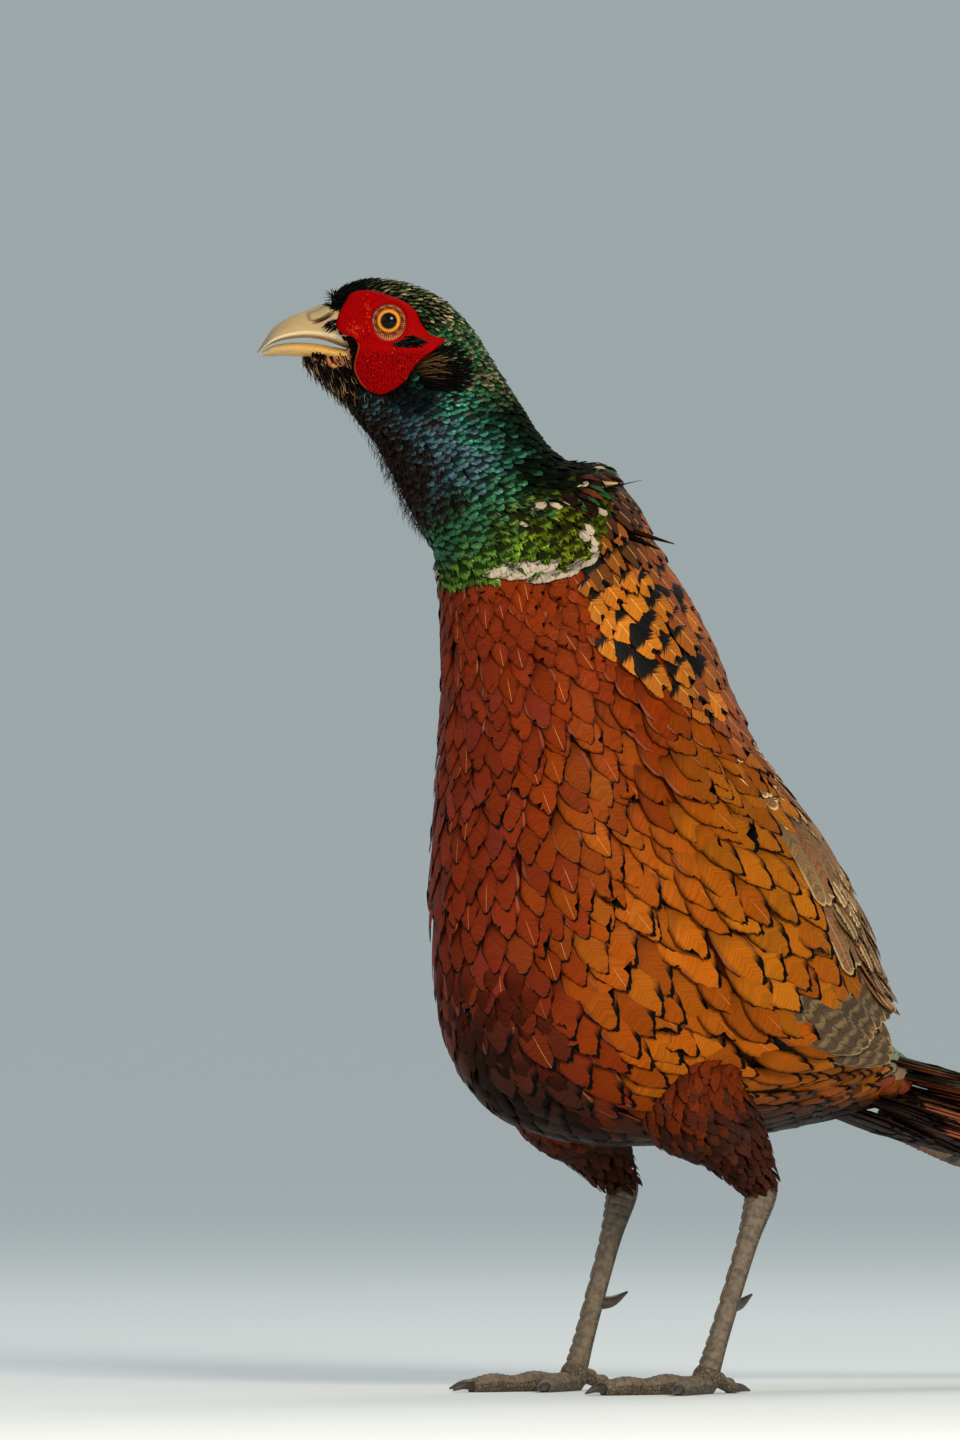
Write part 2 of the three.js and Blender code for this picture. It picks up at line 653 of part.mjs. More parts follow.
function tail() {
  const sides = 16;
  const rings = [];
  const ringOf = (place) => {
    const ring = [];
    for (let j = 0; j < sides; j++) ring.push(place((2 * Math.PI * j) / sides));
    return ring;
  };
  rings.push(ringOf((angle) => bodyPoint(RUMP, angle, 0, trim)));
  for (const { back, half, thick, level } of TAIL_CORE) {
    rings.push(ringOf((a) => tailPoint(back, Math.sin(a) * half, level + Math.cos(a) * thick)));
  }
  let whole = loft(rings);
  TAIL_PAIRS.forEach((tip, pair) => {
    const out = pair === 0 ? 0 : TAIL_STEP_OUT + pair * TAIL_SPREAD;
    for (const side of [1, -1]) {
      const crossing = pair === 0 && side === 1; // lies over its fellow's inner edge
      whole = whole.add(
        tailVane({
          back: TAIL_START,
          line: (back) => side * (upperLine(back) + (crossing ? -TAIL_CROSSING : out)),
          level: TAIL_LEVEL - (crossing ? -1 : pair) * (VANE_THICK + VANE_CLEAR),
          long: tip - TAIL_START,
          half: TAIL_HALF - pair * TAIL_NARROWER,
          roof: TAIL_ROOF,
        }),
      );
    }
  });
  for (const plume of [...RUMP_PLUMES, ...VENT_PLUMES]) {
    for (const side of [1, -1]) {
      whole = whole.add(
        tailVane({ ...plume, line: () => side * plume.left, half: PLUME_HALF }),
      );
    }
  }
  return whole;
}
addNode('tail', tail(), tailFeather);

// Legs
const at = ([x, y, z], side) => new THREE.Vector3(x, -side * y, z);
const belowFloor = solidOf(new THREE.BoxGeometry(400, 400, 40).translate(60, 0, -20));

// A toe's own line: a distance out from the foot and a height give a point
function toeLine({ turn }, side) {
  const angle = THREE.MathUtils.degToRad(turn) * side;
  const way = new THREE.Vector3(-Math.cos(angle), Math.sin(angle), 0);
  return (out, height) => at(ANKLE_PAD, side).addScaledVector(way, out).setZ(height);
}

function toeSolid(toe, side, grow = 0) {
  const place = toeLine(toe, side);
  const lift = toe.name === 'hind' ? 5 : 0;
  const bumps = [1, 0.86, 0.98, 0.8, 0.9, 0.68];
  const points = bumps.map((b, i) => {
    const share = i / (bumps.length - 1);
    return place(share * toe.long, toe.thick * b - TOE_FLAT + lift * (1 - share));
  });
  return limb(points, bumps.map((b) => toe.thick * b + grow), 8, 1);
}

function clawSolid(toe, side) {
  const place = toeLine(toe, side);
  const tall = toe.thick * 0.6;
  return limb(
    [
      place(toe.long - 3, tall),
      place(toe.long + CLAW_LENGTH * 0.4, tall + 0.2),
      place(toe.long + CLAW_LENGTH, 0.9),
    ],
    [2.1, 1.6, 0.4], 6, 2,
  ).subtract(toeSolid(toe, side, GAP)).subtract(belowFloor);
}

for (const { name, side } of SIDES) {
  const hock = at(HOCK, side);
  const pad = at(ANKLE_PAD, side);
  const shin = pad.clone().sub(hock);
  const shank = (grow) =>
    limb(
      [hock.clone().addScaledVector(shin, -0.05), hock.clone().addScaledVector(shin, 0.06),
        hock.clone().lerp(pad, 0.3), hock.clone().lerp(pad, 0.75), pad],
      [4.6 + grow, 5.6 + grow, 3.9 + grow, 3.7 + grow, 4.4 + grow], 12, 3,
    );
  const thigh = limb(
    [at(HIP, side), at(KNEE, side), at(DRUMSTICK, side), at(HOCK, side)],
    [19, 23, 14, 6.8], 14, 3,
  );
  addNode(`thigh_${name}`, thigh.subtract(torsoRoom).subtract(shank(GAP)), thighFeather);

  const spurRoot = hock.clone().lerp(pad, 0.62);
  const spur = limb(
    [spurRoot, spurRoot.clone().add(new THREE.Vector3(7, side * 2, 0.5)),
      spurRoot.clone().add(new THREE.Vector3(SPUR_LENGTH + 3, side * 3, 4))],
    [2.8, 2.1, 0.5], 7, 2,
  );
  addNode(`spur_${name}`, spur.subtract(shank(GAP)), darkHorn);

  let foot = ball(pad, 5.6, 10);
  for (const toe of TOES) foot = foot.add(toeSolid(toe, side));
  addNode(`foot_${name}`, foot.subtract(belowFloor).subtract(shank(GAP)), scaledSkin);
  addNode(`shank_${name}`, shank(0).subtract(belowFloor), scaledSkin);
  for (const toe of TOES) addNode(`claw_${toe.name}_${name}`, clawSolid(toe, side), darkHorn);
}

// The origin is the middle of the model's footprint, on the floor
const extent = new THREE.Box3().setFromObject(bird);
const middle = extent.getCenter(new THREE.Vector3());
bird.position.set(-middle.x, -middle.y, -extent.min.z);

export default bird;
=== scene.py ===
# Common pheasant, adult male, upright with its head turned to its right: the looks, built
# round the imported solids. Lengths are millimetres in the bird's own frame until a mesh is made.
import math
import zlib

import bpy
import numpy as np
from bpy.props import FloatProperty, FloatVectorProperty, PointerProperty
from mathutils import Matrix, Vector
from mathutils.bvhtree import BVHTree
from mathutils.kdtree import KDTree


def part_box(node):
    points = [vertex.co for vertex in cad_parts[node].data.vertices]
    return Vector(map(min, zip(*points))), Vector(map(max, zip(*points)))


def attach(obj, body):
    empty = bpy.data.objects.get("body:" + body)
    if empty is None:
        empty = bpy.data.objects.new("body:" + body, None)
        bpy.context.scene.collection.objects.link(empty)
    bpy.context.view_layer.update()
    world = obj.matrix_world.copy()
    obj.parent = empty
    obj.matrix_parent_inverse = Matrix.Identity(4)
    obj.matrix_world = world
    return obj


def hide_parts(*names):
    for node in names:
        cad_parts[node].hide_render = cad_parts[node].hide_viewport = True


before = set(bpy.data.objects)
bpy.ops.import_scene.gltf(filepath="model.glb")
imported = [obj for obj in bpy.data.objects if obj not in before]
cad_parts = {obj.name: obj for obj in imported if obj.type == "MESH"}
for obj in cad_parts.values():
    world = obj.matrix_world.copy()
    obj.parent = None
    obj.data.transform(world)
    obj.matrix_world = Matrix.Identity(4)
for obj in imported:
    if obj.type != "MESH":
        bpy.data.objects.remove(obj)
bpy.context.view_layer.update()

bl_info = {
    "name": "Common pheasant",
    "version": (1, 0, 0),
    "blender": (4, 5, 0),
    "location": "View3D > Sidebar > Pheasant",
    "description": "Builds the plumage, head, bill, legs and stage of a standing pheasant",
    "category": "Add Mesh",
}

MM = 0.001
BODY = "root"
SIDES = {"left": 1, "right": -1}
TURN = 2 * math.pi
ALL_ROUND = (-math.pi, math.pi)

# Driving dimensions, in mm
HEAD_TURN = math.radians(40)
EYE_LINE = np.array((-31.0, 15.5, 397.5))  # the point midway between the eyes
EYE_DEPTH = 14.1  # how far to the side of that point an eye's centre lies
EYE_RADIUS = 6.2

# Trunk in the middle plane: belly point, back point and half width of each section
TRUNK = (
    ((-12, 304), (60, 340), 32),
    ((-8, 264), (88, 294), 41),
    ((-9, 219), (108, 250), 50),
    ((-11, 174), (142, 210), 57),
    ((-4, 132), (162, 180), 60),
    ((15, 105), (173, 158), 56),
    ((50, 93), (180, 147), 49),
    ((90, 92), (185, 139), 40),
    ((124, 95), (189, 133), 31),
    ((150, 98), (193, 130), 24),
    ((170, 101), (198, 127), 19),
)
# Neck and head seen from the side: forward and up from the eye line for throat and nape, half
# width, and for the neck how far the section stands off the head's plane and is turned back
NECK = (
    ((-14, -82), (-66, -51), 28, -17, 28),
    ((-7.5, -69), (-57, -43), 26, -11, 20),
    ((-1, -56), (-50, -33), 25, -6, 12),
    ((4.5, -46), (-44, -23.5), 24, -2, 6),
    ((10.5, -38), (-37.5, -13.5), 22, 0, 0),
)
HEAD = (
    ((15.5, -31.5), (-30, -2), 19.5, 0, 0),
    ((19.5, -27), (-20, 8), 18.2, 0, 0),
    ((21.5, -24), (-7, 14), 16.8, 0, 0),
    ((22.5, -20.5), (6, 15.8), 14.6, 0, 0),
    ((22.5, -16.5), (15.5, 13.8), 11.8, 0, 0),
    ((21.5, -12.5), (21.5, 8.8), 8.2, 0, 0),
)
# Lower jaw and chin, ahead of and above the eye line: ahead, top, bottom, half width
CHIN = ((12, -12, -32, 13), (18, -11, -27, 11.5), (24, -10.5, -22.5, 8.8), (29, -11, -18, 5.6),
        (33.5, -12, -14.2, 2.4))
TRUNK_TOP = 11  # stations where the trunk begins and where the body ends
RUMP = 21

# How deep the skin lies under the plumage's outer surface, by station
COAT_DEPTH = ((0, 0.6), (5, 0.8), (7, 1.3), (10.5, 2.2), (12, 3.2), (14, 4.2), (21, 4.0))

FORWARD = np.array((-math.cos(HEAD_TURN), math.sin(HEAD_TURN), 0.0))
SIDEWAYS = np.array((-math.sin(HEAD_TURN), -math.cos(HEAD_TURN), 0.0))  # the head's left
UP = np.array((0.0, 0.0, 1.0))
LEFT = np.array((0.0, -1.0, 0.0))  # the body's left


def head_point(ahead, above, left=0.0):
    """Points of the head: forward, up and to its left of the point between the eyes."""
    ahead, above, left = np.broadcast_arrays(
        *(np.asarray(v, float)[..., None] for v in (ahead, above, left)))
    return EYE_LINE + FORWARD * ahead + UP * above + SIDEWAYS * left


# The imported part's origin is the middle of its footprint: the left eye gives the way there
_eye_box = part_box("eye_left")
SHIFT = np.array((_eye_box[0] + _eye_box[1]) / 2) / MM - head_point(0, 0, EYE_DEPTH)


def draws(name):
    """Random draws that are the same in each run, by the name of what they are for."""
    return np.random.default_rng(zlib.crc32(name.encode()))


def size(name):
    """A size of the settings, in mm."""
    return getattr(bpy.context.scene.pheasant_sizes, name) / MM


def ease(value, low, high):
    """0 below low, 1 above high, smooth between."""
    t = np.clip((np.asarray(value, float) - low) / (high - low), 0, 1)
    return t * t * (3 - 2 * t)


def along_table(value, table):
    """What a table of places and amounts says between them."""
    xs, ys = zip(*table)
    return np.interp(value, xs, ys)


def length_of(v):
    return np.linalg.norm(v, axis=-1)


def unit(v):
    return v / np.maximum(length_of(v), 1e-9)[..., None]


def curve(a, b, c, d, t):
    """Points from b to c of a smooth line that also runs through a and d, by the share t."""
    v, w = (c - a) / 2, (d - b) / 2
    return (2 * b - 2 * c + v + w) * t**3 + (3 * c - 3 * b - 2 * v - w) * t**2 + v * t + b


class Run:
    """A body as a run of sections. A section is a centre, a half vector to its back and a half
    vector to its left. Places on it are a station along it and an angle from the back."""

    PER = 60

    def __init__(self, sections):
        rows = np.array(sections, float).reshape(-1, 9)
        self.count = len(rows) - 1
        ends = np.vstack([2 * rows[0] - rows[1], rows, 2 * rows[-1] - rows[-2]])
        t = np.arange(self.count * self.PER + 1) / self.PER
        i = np.minimum(t.astype(int), self.count - 1)
        self.table = curve(ends[i], ends[i + 1], ends[i + 2], ends[i + 3], (t - i)[:, None])

    def section(self, station):
        t = np.asarray(station, float) * self.PER
        i = np.clip(t.astype(int), 0, len(self.table) - 2)
        f = (t - i)[..., None]
        row = self.table[i] * (1 - f) + self.table[i + 1] * f
        return row[..., 0:3], row[..., 3:6], row[..., 6:9]

    def place(self, station, angle, height=0.0):
        station, angle, height = np.broadcast_arrays(station, angle, height)
        centre, rise, reach = self.section(station)
        high, wide = length_of(rise), length_of(reach)
        return (centre
                + rise * ((np.cos(angle) * (high + height)) / high)[..., None]
                + reach * ((np.sin(angle) * (wide + height)) / wide)[..., None])


def turned(v, axis, angle):
    axis = unit(axis)
    return (v * math.cos(angle) + np.cross(axis, v) * math.sin(angle)
            + axis * np.dot(axis, v) * (1 - math.cos(angle)))


def body_run():
    sections = []
    for throat, nape, half, off, turn in HEAD[::-1] + NECK[::-1]:
        low, high = head_point(*throat, off), head_point(*nape, off)
        rise = (high - low) / 2
        axis = np.cross(SIDEWAYS, rise)
        sections.append(((low + high) / 2, turned(rise, axis, math.radians(turn)),
                         turned(SIDEWAYS, axis, math.radians(turn)) * half))
    for belly, back, half in TRUNK:
        low, high = np.array((belly[0], 0, belly[1])), np.array((back[0], 0, back[1]))
        sections.append(((low + high) / 2, (high - low) / 2, LEFT * half))
    return Run(sections)


BIRD = body_run()


def chin_run():
    return Run([(head_point(ahead, (top + bottom) / 2), UP * (top - bottom) / 2, SIDEWAYS * half)
                for ahead, top, bottom, half in CHIN])


JAW = chin_run()


def coat_depth(station):
    return along_table(station, COAT_DEPTH)


def skin_depth(station, angle):
    """As the coat's depth, and deeper beside the bill's root, where the horn shows instead."""
    beside_bill = along_table(station, ((0, 3.6), (1, 3.2), (2, 2), (3, 0.3), (4, 0)))
    return coat_depth(station) + beside_bill * ease(folded(angle), 45, 90)


# Colours


def rgb(red, green, blue):
    """A colour in linear light from its 0 to 255 screen values."""
    c = np.array((red, green, blue)) / 255
    return tuple(float(v) for v in np.where(c < 0.04045, c / 12.92, ((c + 0.055) / 1.055) ** 2.4))


def colour(name, about, red, green, blue):
    return FloatVectorProperty(name=name, description=about, subtype="COLOR", size=3, min=0,
                               max=1, default=rgb(red, green, blue))


def length(name, about, millimetres):
    return FloatProperty(name=name, description=about, unit="LENGTH", min=0.00001,
                         default=millimetres * MM)


class PheasantSizes(bpy.types.PropertyGroup):
    """Sizes that a user would change"""

    neck_scale: length("Neck scale", "Distance between the scales of the neck", 2.0)
    head_tuft: length("Head tuft", "Distance between the small feathers of the head", 1.5)
    breast_feather: length("Breast feather", "Distance between breast feathers", 6.2)
    flank_feather: length("Flank feather", "Distance between flank feathers", 8.5)
    papilla: length("Papilla", "Height of the pimples on the red face", 0.28)
    tail_bar: length("Tail bar", "Distance between the bars of the tail", 24)
    scute: length("Scute", "Height of one plate on the front of the shank", 4.2)
    camera_distance: length("Camera distance", "From the camera to the bird", 12000)
    floor_radius: length("Floor radius", "How far the pale floor reaches", 60000)


class PheasantColours(bpy.types.PropertyGroup):
    """Colours that a user would change"""

    neck_blue: colour("Neck blue", "Gloss of the upper neck", 62, 90, 100)
    neck_teal: colour("Neck teal", "Gloss of the side of the neck", 50, 111, 94)
    neck_green: colour("Neck green", "Gloss of the hindneck", 42, 99, 52)
    neck_moss: colour("Neck moss", "Gloss of the foot of the neck", 76, 86, 14)
    neck_purple: colour("Neck purple", "Gloss below the ear", 64, 24, 38)
    throat_brown: colour("Throat brown", "Feathers of the throat", 40, 21, 9)
    feather_black: colour("Feather black", "Black marks of the plumage", 10, 9, 8)
    crown_green: colour("Crown green", "Bronze green flecks of the crown", 134, 130, 94)
    ear_brown: colour("Ear brown", "Hair-like feathers over the ear", 78, 56, 30)
    collar_white: colour("Collar white", "The broken white ring", 168, 154, 136)
    breast_copper: colour("Breast copper", "Side of the breast", 107, 36, 3)
    breast_maroon: colour("Breast maroon", "Front of the breast", 104, 34, 12)
    # A purple sheen painted into the colour of a few feathers in front of the breast
    breast_painted_sheen: colour("Breast gloss", "Purple sheen of the breast", 98, 46, 58)
    flank_orange: colour("Flank orange", "Flank feathers", 154, 80, 12)
    mantle_gold: colour("Mantle gold", "Mantle feathers", 184, 108, 22)
    belly_brown: colour("Belly brown", "Belly and thighs", 44, 26, 18)
    scapular_chestnut: colour("Scapular chestnut", "Rims of the back", 124, 56, 30)
    cream: colour("Cream", "Pale centres and rims", 206, 172, 118)
    covert_grey: colour("Covert grey", "Wing coverts", 118, 92, 60)
    flight_brown: colour("Flight brown", "Flight feathers", 76, 60, 44)
    rump_green: colour("Rump green", "Lower back and rump", 112, 122, 100)
    tail_buff: colour("Tail buff", "Ground of the tail", 152, 120, 72)
    tail_edge: colour("Tail edge", "Loose rims of the tail", 138, 74, 52)
    tail_black: colour("Tail black", "Bars of the tail", 26, 18, 12)
    face_red: colour("Face red", "Bare skin of the face", 140, 0, 1)
    iris_amber: colour("Iris amber", "Iris", 204, 122, 24)
    lid_tan: colour("Lid tan", "Beaded rim of the lids", 166, 106, 66)
    gape_flesh: colour("Gape flesh", "Bare skin below the lower bill", 196, 126, 78)
    bill_horn: colour("Bill horn", "Upper bill", 170, 144, 96)
    bill_warm: colour("Bill base", "Lower bill at its base", 208, 156, 70)
    bill_tip: colour("Bill tip", "Tip of the bill", 128, 110, 84)
    leg_grey: colour("Leg grey", "Shanks and toes", 112, 100, 86)
    claw_dark: colour("Claw", "Claws and spurs", 40, 32, 26)
    floor_pale: colour("Floor", "The pale floor", 224, 229, 232)


def paint(name):
    """A colour of the settings."""
    return np.array(getattr(bpy.context.scene.pheasant_colours, name))


def tint(name, shade=1.0):
    """A colour of the settings by a shade, with the fourth value that a shader's colour has."""
    return (*(paint(name) * shade), 1.0)


def screen(red, green, blue):
    """A colour of its own, with the fourth value."""
    return (*rgb(red, green, blue), 1.0)


def blend_tones(a, b, share):
    return a + (b - a) * np.asarray(share)[..., None]


def over(tone, name, share):
    """A tone with a share of one of the colours of the settings."""
    return blend_tones(tone, paint(name), share)


# Meshes from arrays


def grid_faces(rows, cols, closed=False):
    """Quads of a grid of points. Closed joins its last column to its first."""
    r = np.arange(rows - 1)[:, None]
    c = np.arange(cols if closed else cols - 1)[None, :]
    after = (c + 1) % cols
    quads = np.stack([r * cols + c, r * cols + after, (r + 1) * cols + after,
                      (r + 1) * cols + c], -1)
    return quads.reshape(-1, 4)


def carry(mesh, name, values):
    """Gives each point of a mesh three numbers, or a colour's four."""
    kind, field = {3: ("FLOAT_VECTOR", "vector"), 4: ("FLOAT_COLOR", "color")}[values.shape[1]]
    layer = mesh.attributes.new(name, kind, "POINT")
    layer.data.foreach_set(field, values.astype(np.float32).ravel())


def solid(colours):
    """Colours with their fourth value, where they have none yet."""
    colours = np.asarray(colours)
    return colours if colours.shape[1] == 4 else np.hstack([colours, np.ones((len(colours), 1))])


class Lot:
    """Meshes that go into one piece: points, faces by their number of corners, and what each
    point carries."""

    def __init__(self):
        self.points, self.faces, self.count = [], {}, 0
        self.carried = {}

    def add(self, points, faces, **carried):
        points = np.asarray(points, float).reshape(-1, 3)
        self.points.append(points)
        for group in faces:
            group = np.asarray(group)
            self.faces.setdefault(group.shape[1], []).append(group + self.count)
        for name, values in carried.items():
            values = np.asarray(values, float)
            values = np.broadcast_to(values, (len(points), values.shape[-1]))
            self.carried.setdefault(name, []).append(values)
        self.count += len(points)
        return self

    def make(self, name, material):
        """One mesh object at the origin. Two values a point make a UV map, three an attribute."""
        points = (np.concatenate(self.points) + SHIFT) * MM
        corners = np.concatenate([np.concatenate(g).reshape(-1) for g in self.faces.values()])
        sizes = np.concatenate([np.full(sum(map(len, g)), n) for n, g in self.faces.items()])
        mesh = bpy.data.meshes.new(name)
        mesh.vertices.add(len(points))
        mesh.vertices.foreach_set("co", points.astype(np.float32).reshape(-1))
        mesh.loops.add(len(corners))
        mesh.loops.foreach_set("vertex_index", corners.astype(np.int32))
        mesh.polygons.add(len(sizes))
        starts = np.concatenate([[0], np.cumsum(sizes)[:-1]])
        mesh.polygons.foreach_set("loop_start", starts.astype(np.int32))
        mesh.polygons.foreach_set("use_smooth", np.ones(len(sizes), bool))
        mesh.update(calc_edges=True)
        for key, parts in self.carried.items():
            values = np.concatenate(parts)
            if values.shape[1] == 2:
                flat = values[corners].astype(np.float32).ravel()
                mesh.uv_layers.new(name=key).data.foreach_set("uv", flat)
            else:
                carry(mesh, key, values)
        piece = bpy.data.objects.new(name, mesh)
        bpy.context.scene.collection.objects.link(piece)
        mesh.materials.append(material)
        return piece


def finish(piece, slot, *nodes):
    """Names what the piece rides on and hides the solids it stands for; its finish is not used."""
    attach(piece, BODY)
    if nodes:
        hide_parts(*nodes)


def select_only(piece):
    bpy.ops.object.select_all(action="DESELECT")
    piece.select_set(True)
    bpy.context.view_layer.objects.active = piece


def circle(count):
    """Angles evenly round a circle."""
    return np.linspace(0, TURN, count, endpoint=False)


def every_pair(a, b):
    """Each value of a with each value of b, as two rows."""
    return [v.ravel() for v in np.meshgrid(a, b, indexing="ij")]


def search_tree(points):
    """A tree to find the nearest of points in space."""
    tree = KDTree(len(points))
    for i, p in enumerate(points):
        tree.insert(p, i)
    tree.balance()
    return tree


def thinned(points, apart):
    """Which points stay, taken in order, so that each is its own distance from later ones."""
    tree = search_tree(points)
    taken, chosen = np.zeros(len(points), bool), []
    for i, p in enumerate(points):
        if not taken[i]:
            chosen.append(i)
            for _, j, _ in tree.find_range(p, apart[i]):
                taken[j] = True
    return chosen


def on_plane(x, y):
    """Places of a plane as points in space."""
    x, y = np.ravel(x), np.ravel(y)
    return np.stack([x, y, 0 * x], -1)


# Feathers

PROBE = 0.02  # the step, in stations or radians, over which a surface's rates are taken
LEAST_RATE = 2.0  # mm to the radian where a surface runs to a point
FIRST_TRIES = 4096
TRIES = 9  # random places tried for each that could fit
MOST_TRIES = 150000
# Islands of the unwrap: left, low, wide, high, by what carries the feather
UNWRAP = {
    "body": (0.01, 0.01, 0.55, 0.97),
    "wing_left": (0.58, 0.01, 0.12, 0.47),
    "wing_right": (0.58, 0.51, 0.12, 0.47),
    "tail": (0.72, 0.01, 0.26, 0.47),
    "thigh_left": (0.72, 0.51, 0.12, 0.22),
    "thigh_right": (0.86, 0.51, 0.12, 0.22),
    "head": (0.72, 0.76, 0.26, 0.22),
}
PATCH = 0.003  # the size of one feather's own patch of the unwrap


def unwrapped(island, across, down):
    left, low, wide, high = UNWRAP[island]
    return np.stack([left + wide * np.clip(across, 0, 1), low + high * np.clip(down, 0, 1)], -1)


class Coat:
    """Feathers of one piece. Each feather is a closed vane: a grid from root to tip over a flat
    underside that shares its rim."""

    def __init__(self, name):
        self.lot = Lot()
        self.random = draws(name)
        self.name = name

    def add(self, grid, roots, ground, mark, measure):
        """grid (N, rows, cols, 3); roots (N, 2) on the unwrap; ground and mark (N, 3), or a mark
        with a fourth value for its finish; measure (N, 2), a feather's half width and length."""
        n, rows, cols = grid.shape[:3]
        v, u = np.meshgrid(np.linspace(0, 1, rows), np.linspace(0, 1, cols), indexing="ij")
        local = np.stack([u, v], -1).reshape(1, -1, 2)
        each = rows * cols
        top = grid_faces(rows, cols)
        r = np.arange(rows - 1) * cols
        under = np.stack([r, r + cols, r + 2 * cols - 1, r + cols - 1], -1)
        tip = np.arange(each - cols, each)[None, ::-1]
        root = np.arange(cols)[None, ::-1]
        step = (np.arange(n) * each)[:, None, None]
        faces = [(step + part).reshape(-1, part.shape[1])
                 for part in (np.concatenate([top, under]), tip, root)]

        def spread(values):
            values = np.asarray(values, float)
            return np.broadcast_to(values[:, None, :], (n, each, values.shape[-1])).reshape(
                n * each, -1)

        chance = self.random.random((n, 1))
        self.lot.add(
            grid, faces,
            OFBake=(spread(roots) + PATCH * (np.tile(local, (n, 1, 1)).reshape(-1, 2) - 0.5)),
            vane=np.tile(local, (n, 1, 1)).reshape(-1, 2),
            ground=spread(solid(ground)),
            mark=spread(solid(mark)),
            measure=spread(np.hstack([measure, chance])),
        )

    def make(self, material, slot, *nodes):
        finish(self.lot.make(self.name, material), slot, *nodes)


def columns(n, *values):
    """Values of n feathers, or one value for all of them, shaped to go with their grids."""
    return [np.broadcast_to(np.asarray(v, float), (n,)).reshape(n, 1, 1) for v in values]


def grid_shares(rows, cols):
    """How far along its grid, 0 to 1, and how far across, -1 to 1, a feather's point lies."""
    return np.linspace(0, 1, rows)[None, :, None], np.linspace(-1, 1, cols)[None, None, :]


def outline_grid(n, rows, cols, long, half, random, root=0.5, belly=0.55, tip=0.8, drop=0.8,
                 power=2.2, notch=0.0, fray=0.0):
    """Feathers laid flat: how far along and how far across each point of their grids lies."""
    u, x = grid_shares(rows, cols)
    long, half, root, belly, tip, drop, notch = columns(n, long, half, root, belly, tip, drop,
                                                        notch)
    widen = root + (1 - root) * np.sin(np.clip(u / belly, 0, 1) * math.pi / 2)
    narrow = 1 - (1 - tip) * np.clip((u - belly) / (1 - belly), 0, 1) ** 2
    rounding = drop * half * np.abs(x) ** power * u**3
    cleft = notch * half * np.exp(-((x / 0.3) ** 2)) * u**10
    behind = 0.5 * half * x**2 * (1 - u) ** 3
    rim = np.clip((np.abs(x) - 0.6) / 0.4, 0, 1) * u**0.5
    across = (x * half * widen * narrow
              + fray * half * rim * (random.random((n, rows, cols)) - 0.5))
    ragged = fray * half * (random.random((n, 1, cols)) - 0.5) * u**6
    return u * long - rounding - cleft + behind + ragged * 1.6, across


def rates(place, a, b):
    """How many mm a surface runs for each station and for each radian at places on it."""
    here = place(a, b)
    return (length_of(place(a + PROBE, b) - here) / PROBE,
            length_of(place(a, b + PROBE) - here) / PROBE)


def lay(place, a0, b0, along, across, height, drift=0.0, hand=1):
    """Feathers laid on a surface. place(a, b, height) gives its points; each feather starts at
    a0, b0, and runs the way of a, turned by drift towards b."""
    n, rows, cols = along.shape
    drift = np.broadcast_to(np.asarray(drift, float), (n,))
    line = along[:, :, cols // 2]
    a, b = np.array(a0, float), np.array(b0, float)
    grids_a, grids_b = np.empty_like(along), np.empty_like(along)
    reach = np.zeros(n)
    for row in range(rows):
        rate_a, rate_b = rates(place, a, b)
        rate_b = np.maximum(rate_b, LEAST_RATE)
        go_a, go_b = np.cos(drift) / rate_a, np.sin(drift) / rate_b
        side_a, side_b = -np.sin(drift) / rate_a, np.cos(drift) / rate_b
        step = line[:, row] - reach
        a, b = a + go_a * step, b + go_b * step
        reach = line[:, row]
        ahead = along[:, row] - reach[:, None]
        aside = across[:, row] * hand
        grids_a[:, row] = a[:, None] + ahead * go_a[:, None] + aside * side_a[:, None]
        grids_b[:, row] = b[:, None] + ahead * go_b[:, None] + aside * side_b[:, None]
    return place(grids_a, grids_b, height)


def vane_height(n, rows, cols, root, tip, half, camber=0.12, roll=0.0):
    """Height of the grid's points over the surface: from root to tip, arched across."""
    u, x = grid_shares(rows, cols)
    root, tip, half, roll, camber = columns(n, root, tip, half, roll, camber)
    rise = root + (tip - root) * np.sin(u * math.pi / 2) ** 0.9
    return rise - camber * half * x**2 + roll * half * x * u


def planted(root, out, way, long, half, rows=4, cols=3, bend=0.3, taper=0.3):
    """Bristles and hairs: they start at root going out, and bend over towards way."""
    n = len(root)
    u, x = (v[..., None] for v in grid_shares(rows, cols))
    out, way = unit(out)[:, None, None], unit(way)[:, None, None]
    side = unit(np.cross(way, out))
    long, half, bend = (v[..., None] for v in columns(n, long, half, bend))
    width = half * (1 - (1 - taper) * u**1.5)
    lean = out * (1 - bend * u) + way * bend * u * 1.4
    spine = root[:, None, None] + lean * long * u
    rounding = unit(lean) * (-0.6 * width * x**2)
    cup = -np.cross(side, unit(lean)) * 0.2 * width * x**2
    return spine + side * width * x + rounding + cup


def scattered(name, surface, a_range, b_range, spacing, keep=None):
    """Even places on a surface, at least spacing apart: a list of a and of b."""
    random = draws(name)
    d = 0.01

    def cells(a, b):
        here = surface(a, b)
        return here, length_of(np.cross(surface(a + d, b) - here, surface(a, b + d) - here)) / d**2

    def apart_at(a, b):
        return np.broadcast_to(spacing if np.isscalar(spacing) else spacing(a, b), a.shape)

    a, b = random.uniform(*a_range, FIRST_TRIES), random.uniform(*b_range, FIRST_TRIES)
    most = cells(a, b)[1].max()
    area = most * (a_range[1] - a_range[0]) * (b_range[1] - b_range[0])
    count = min(int(TRIES * area / apart_at(a, b).min() ** 2), MOST_TRIES)
    a, b = random.uniform(*a_range, count), random.uniform(*b_range, count)
    here, cell = cells(a, b)
    good = random.random(count) < cell / most
    if keep is not None:
        good &= keep(a, b)
    a, b = a[good], b[good]
    chosen = thinned(here[good], apart_at(a, b))
    return a[chosen], b[chosen]


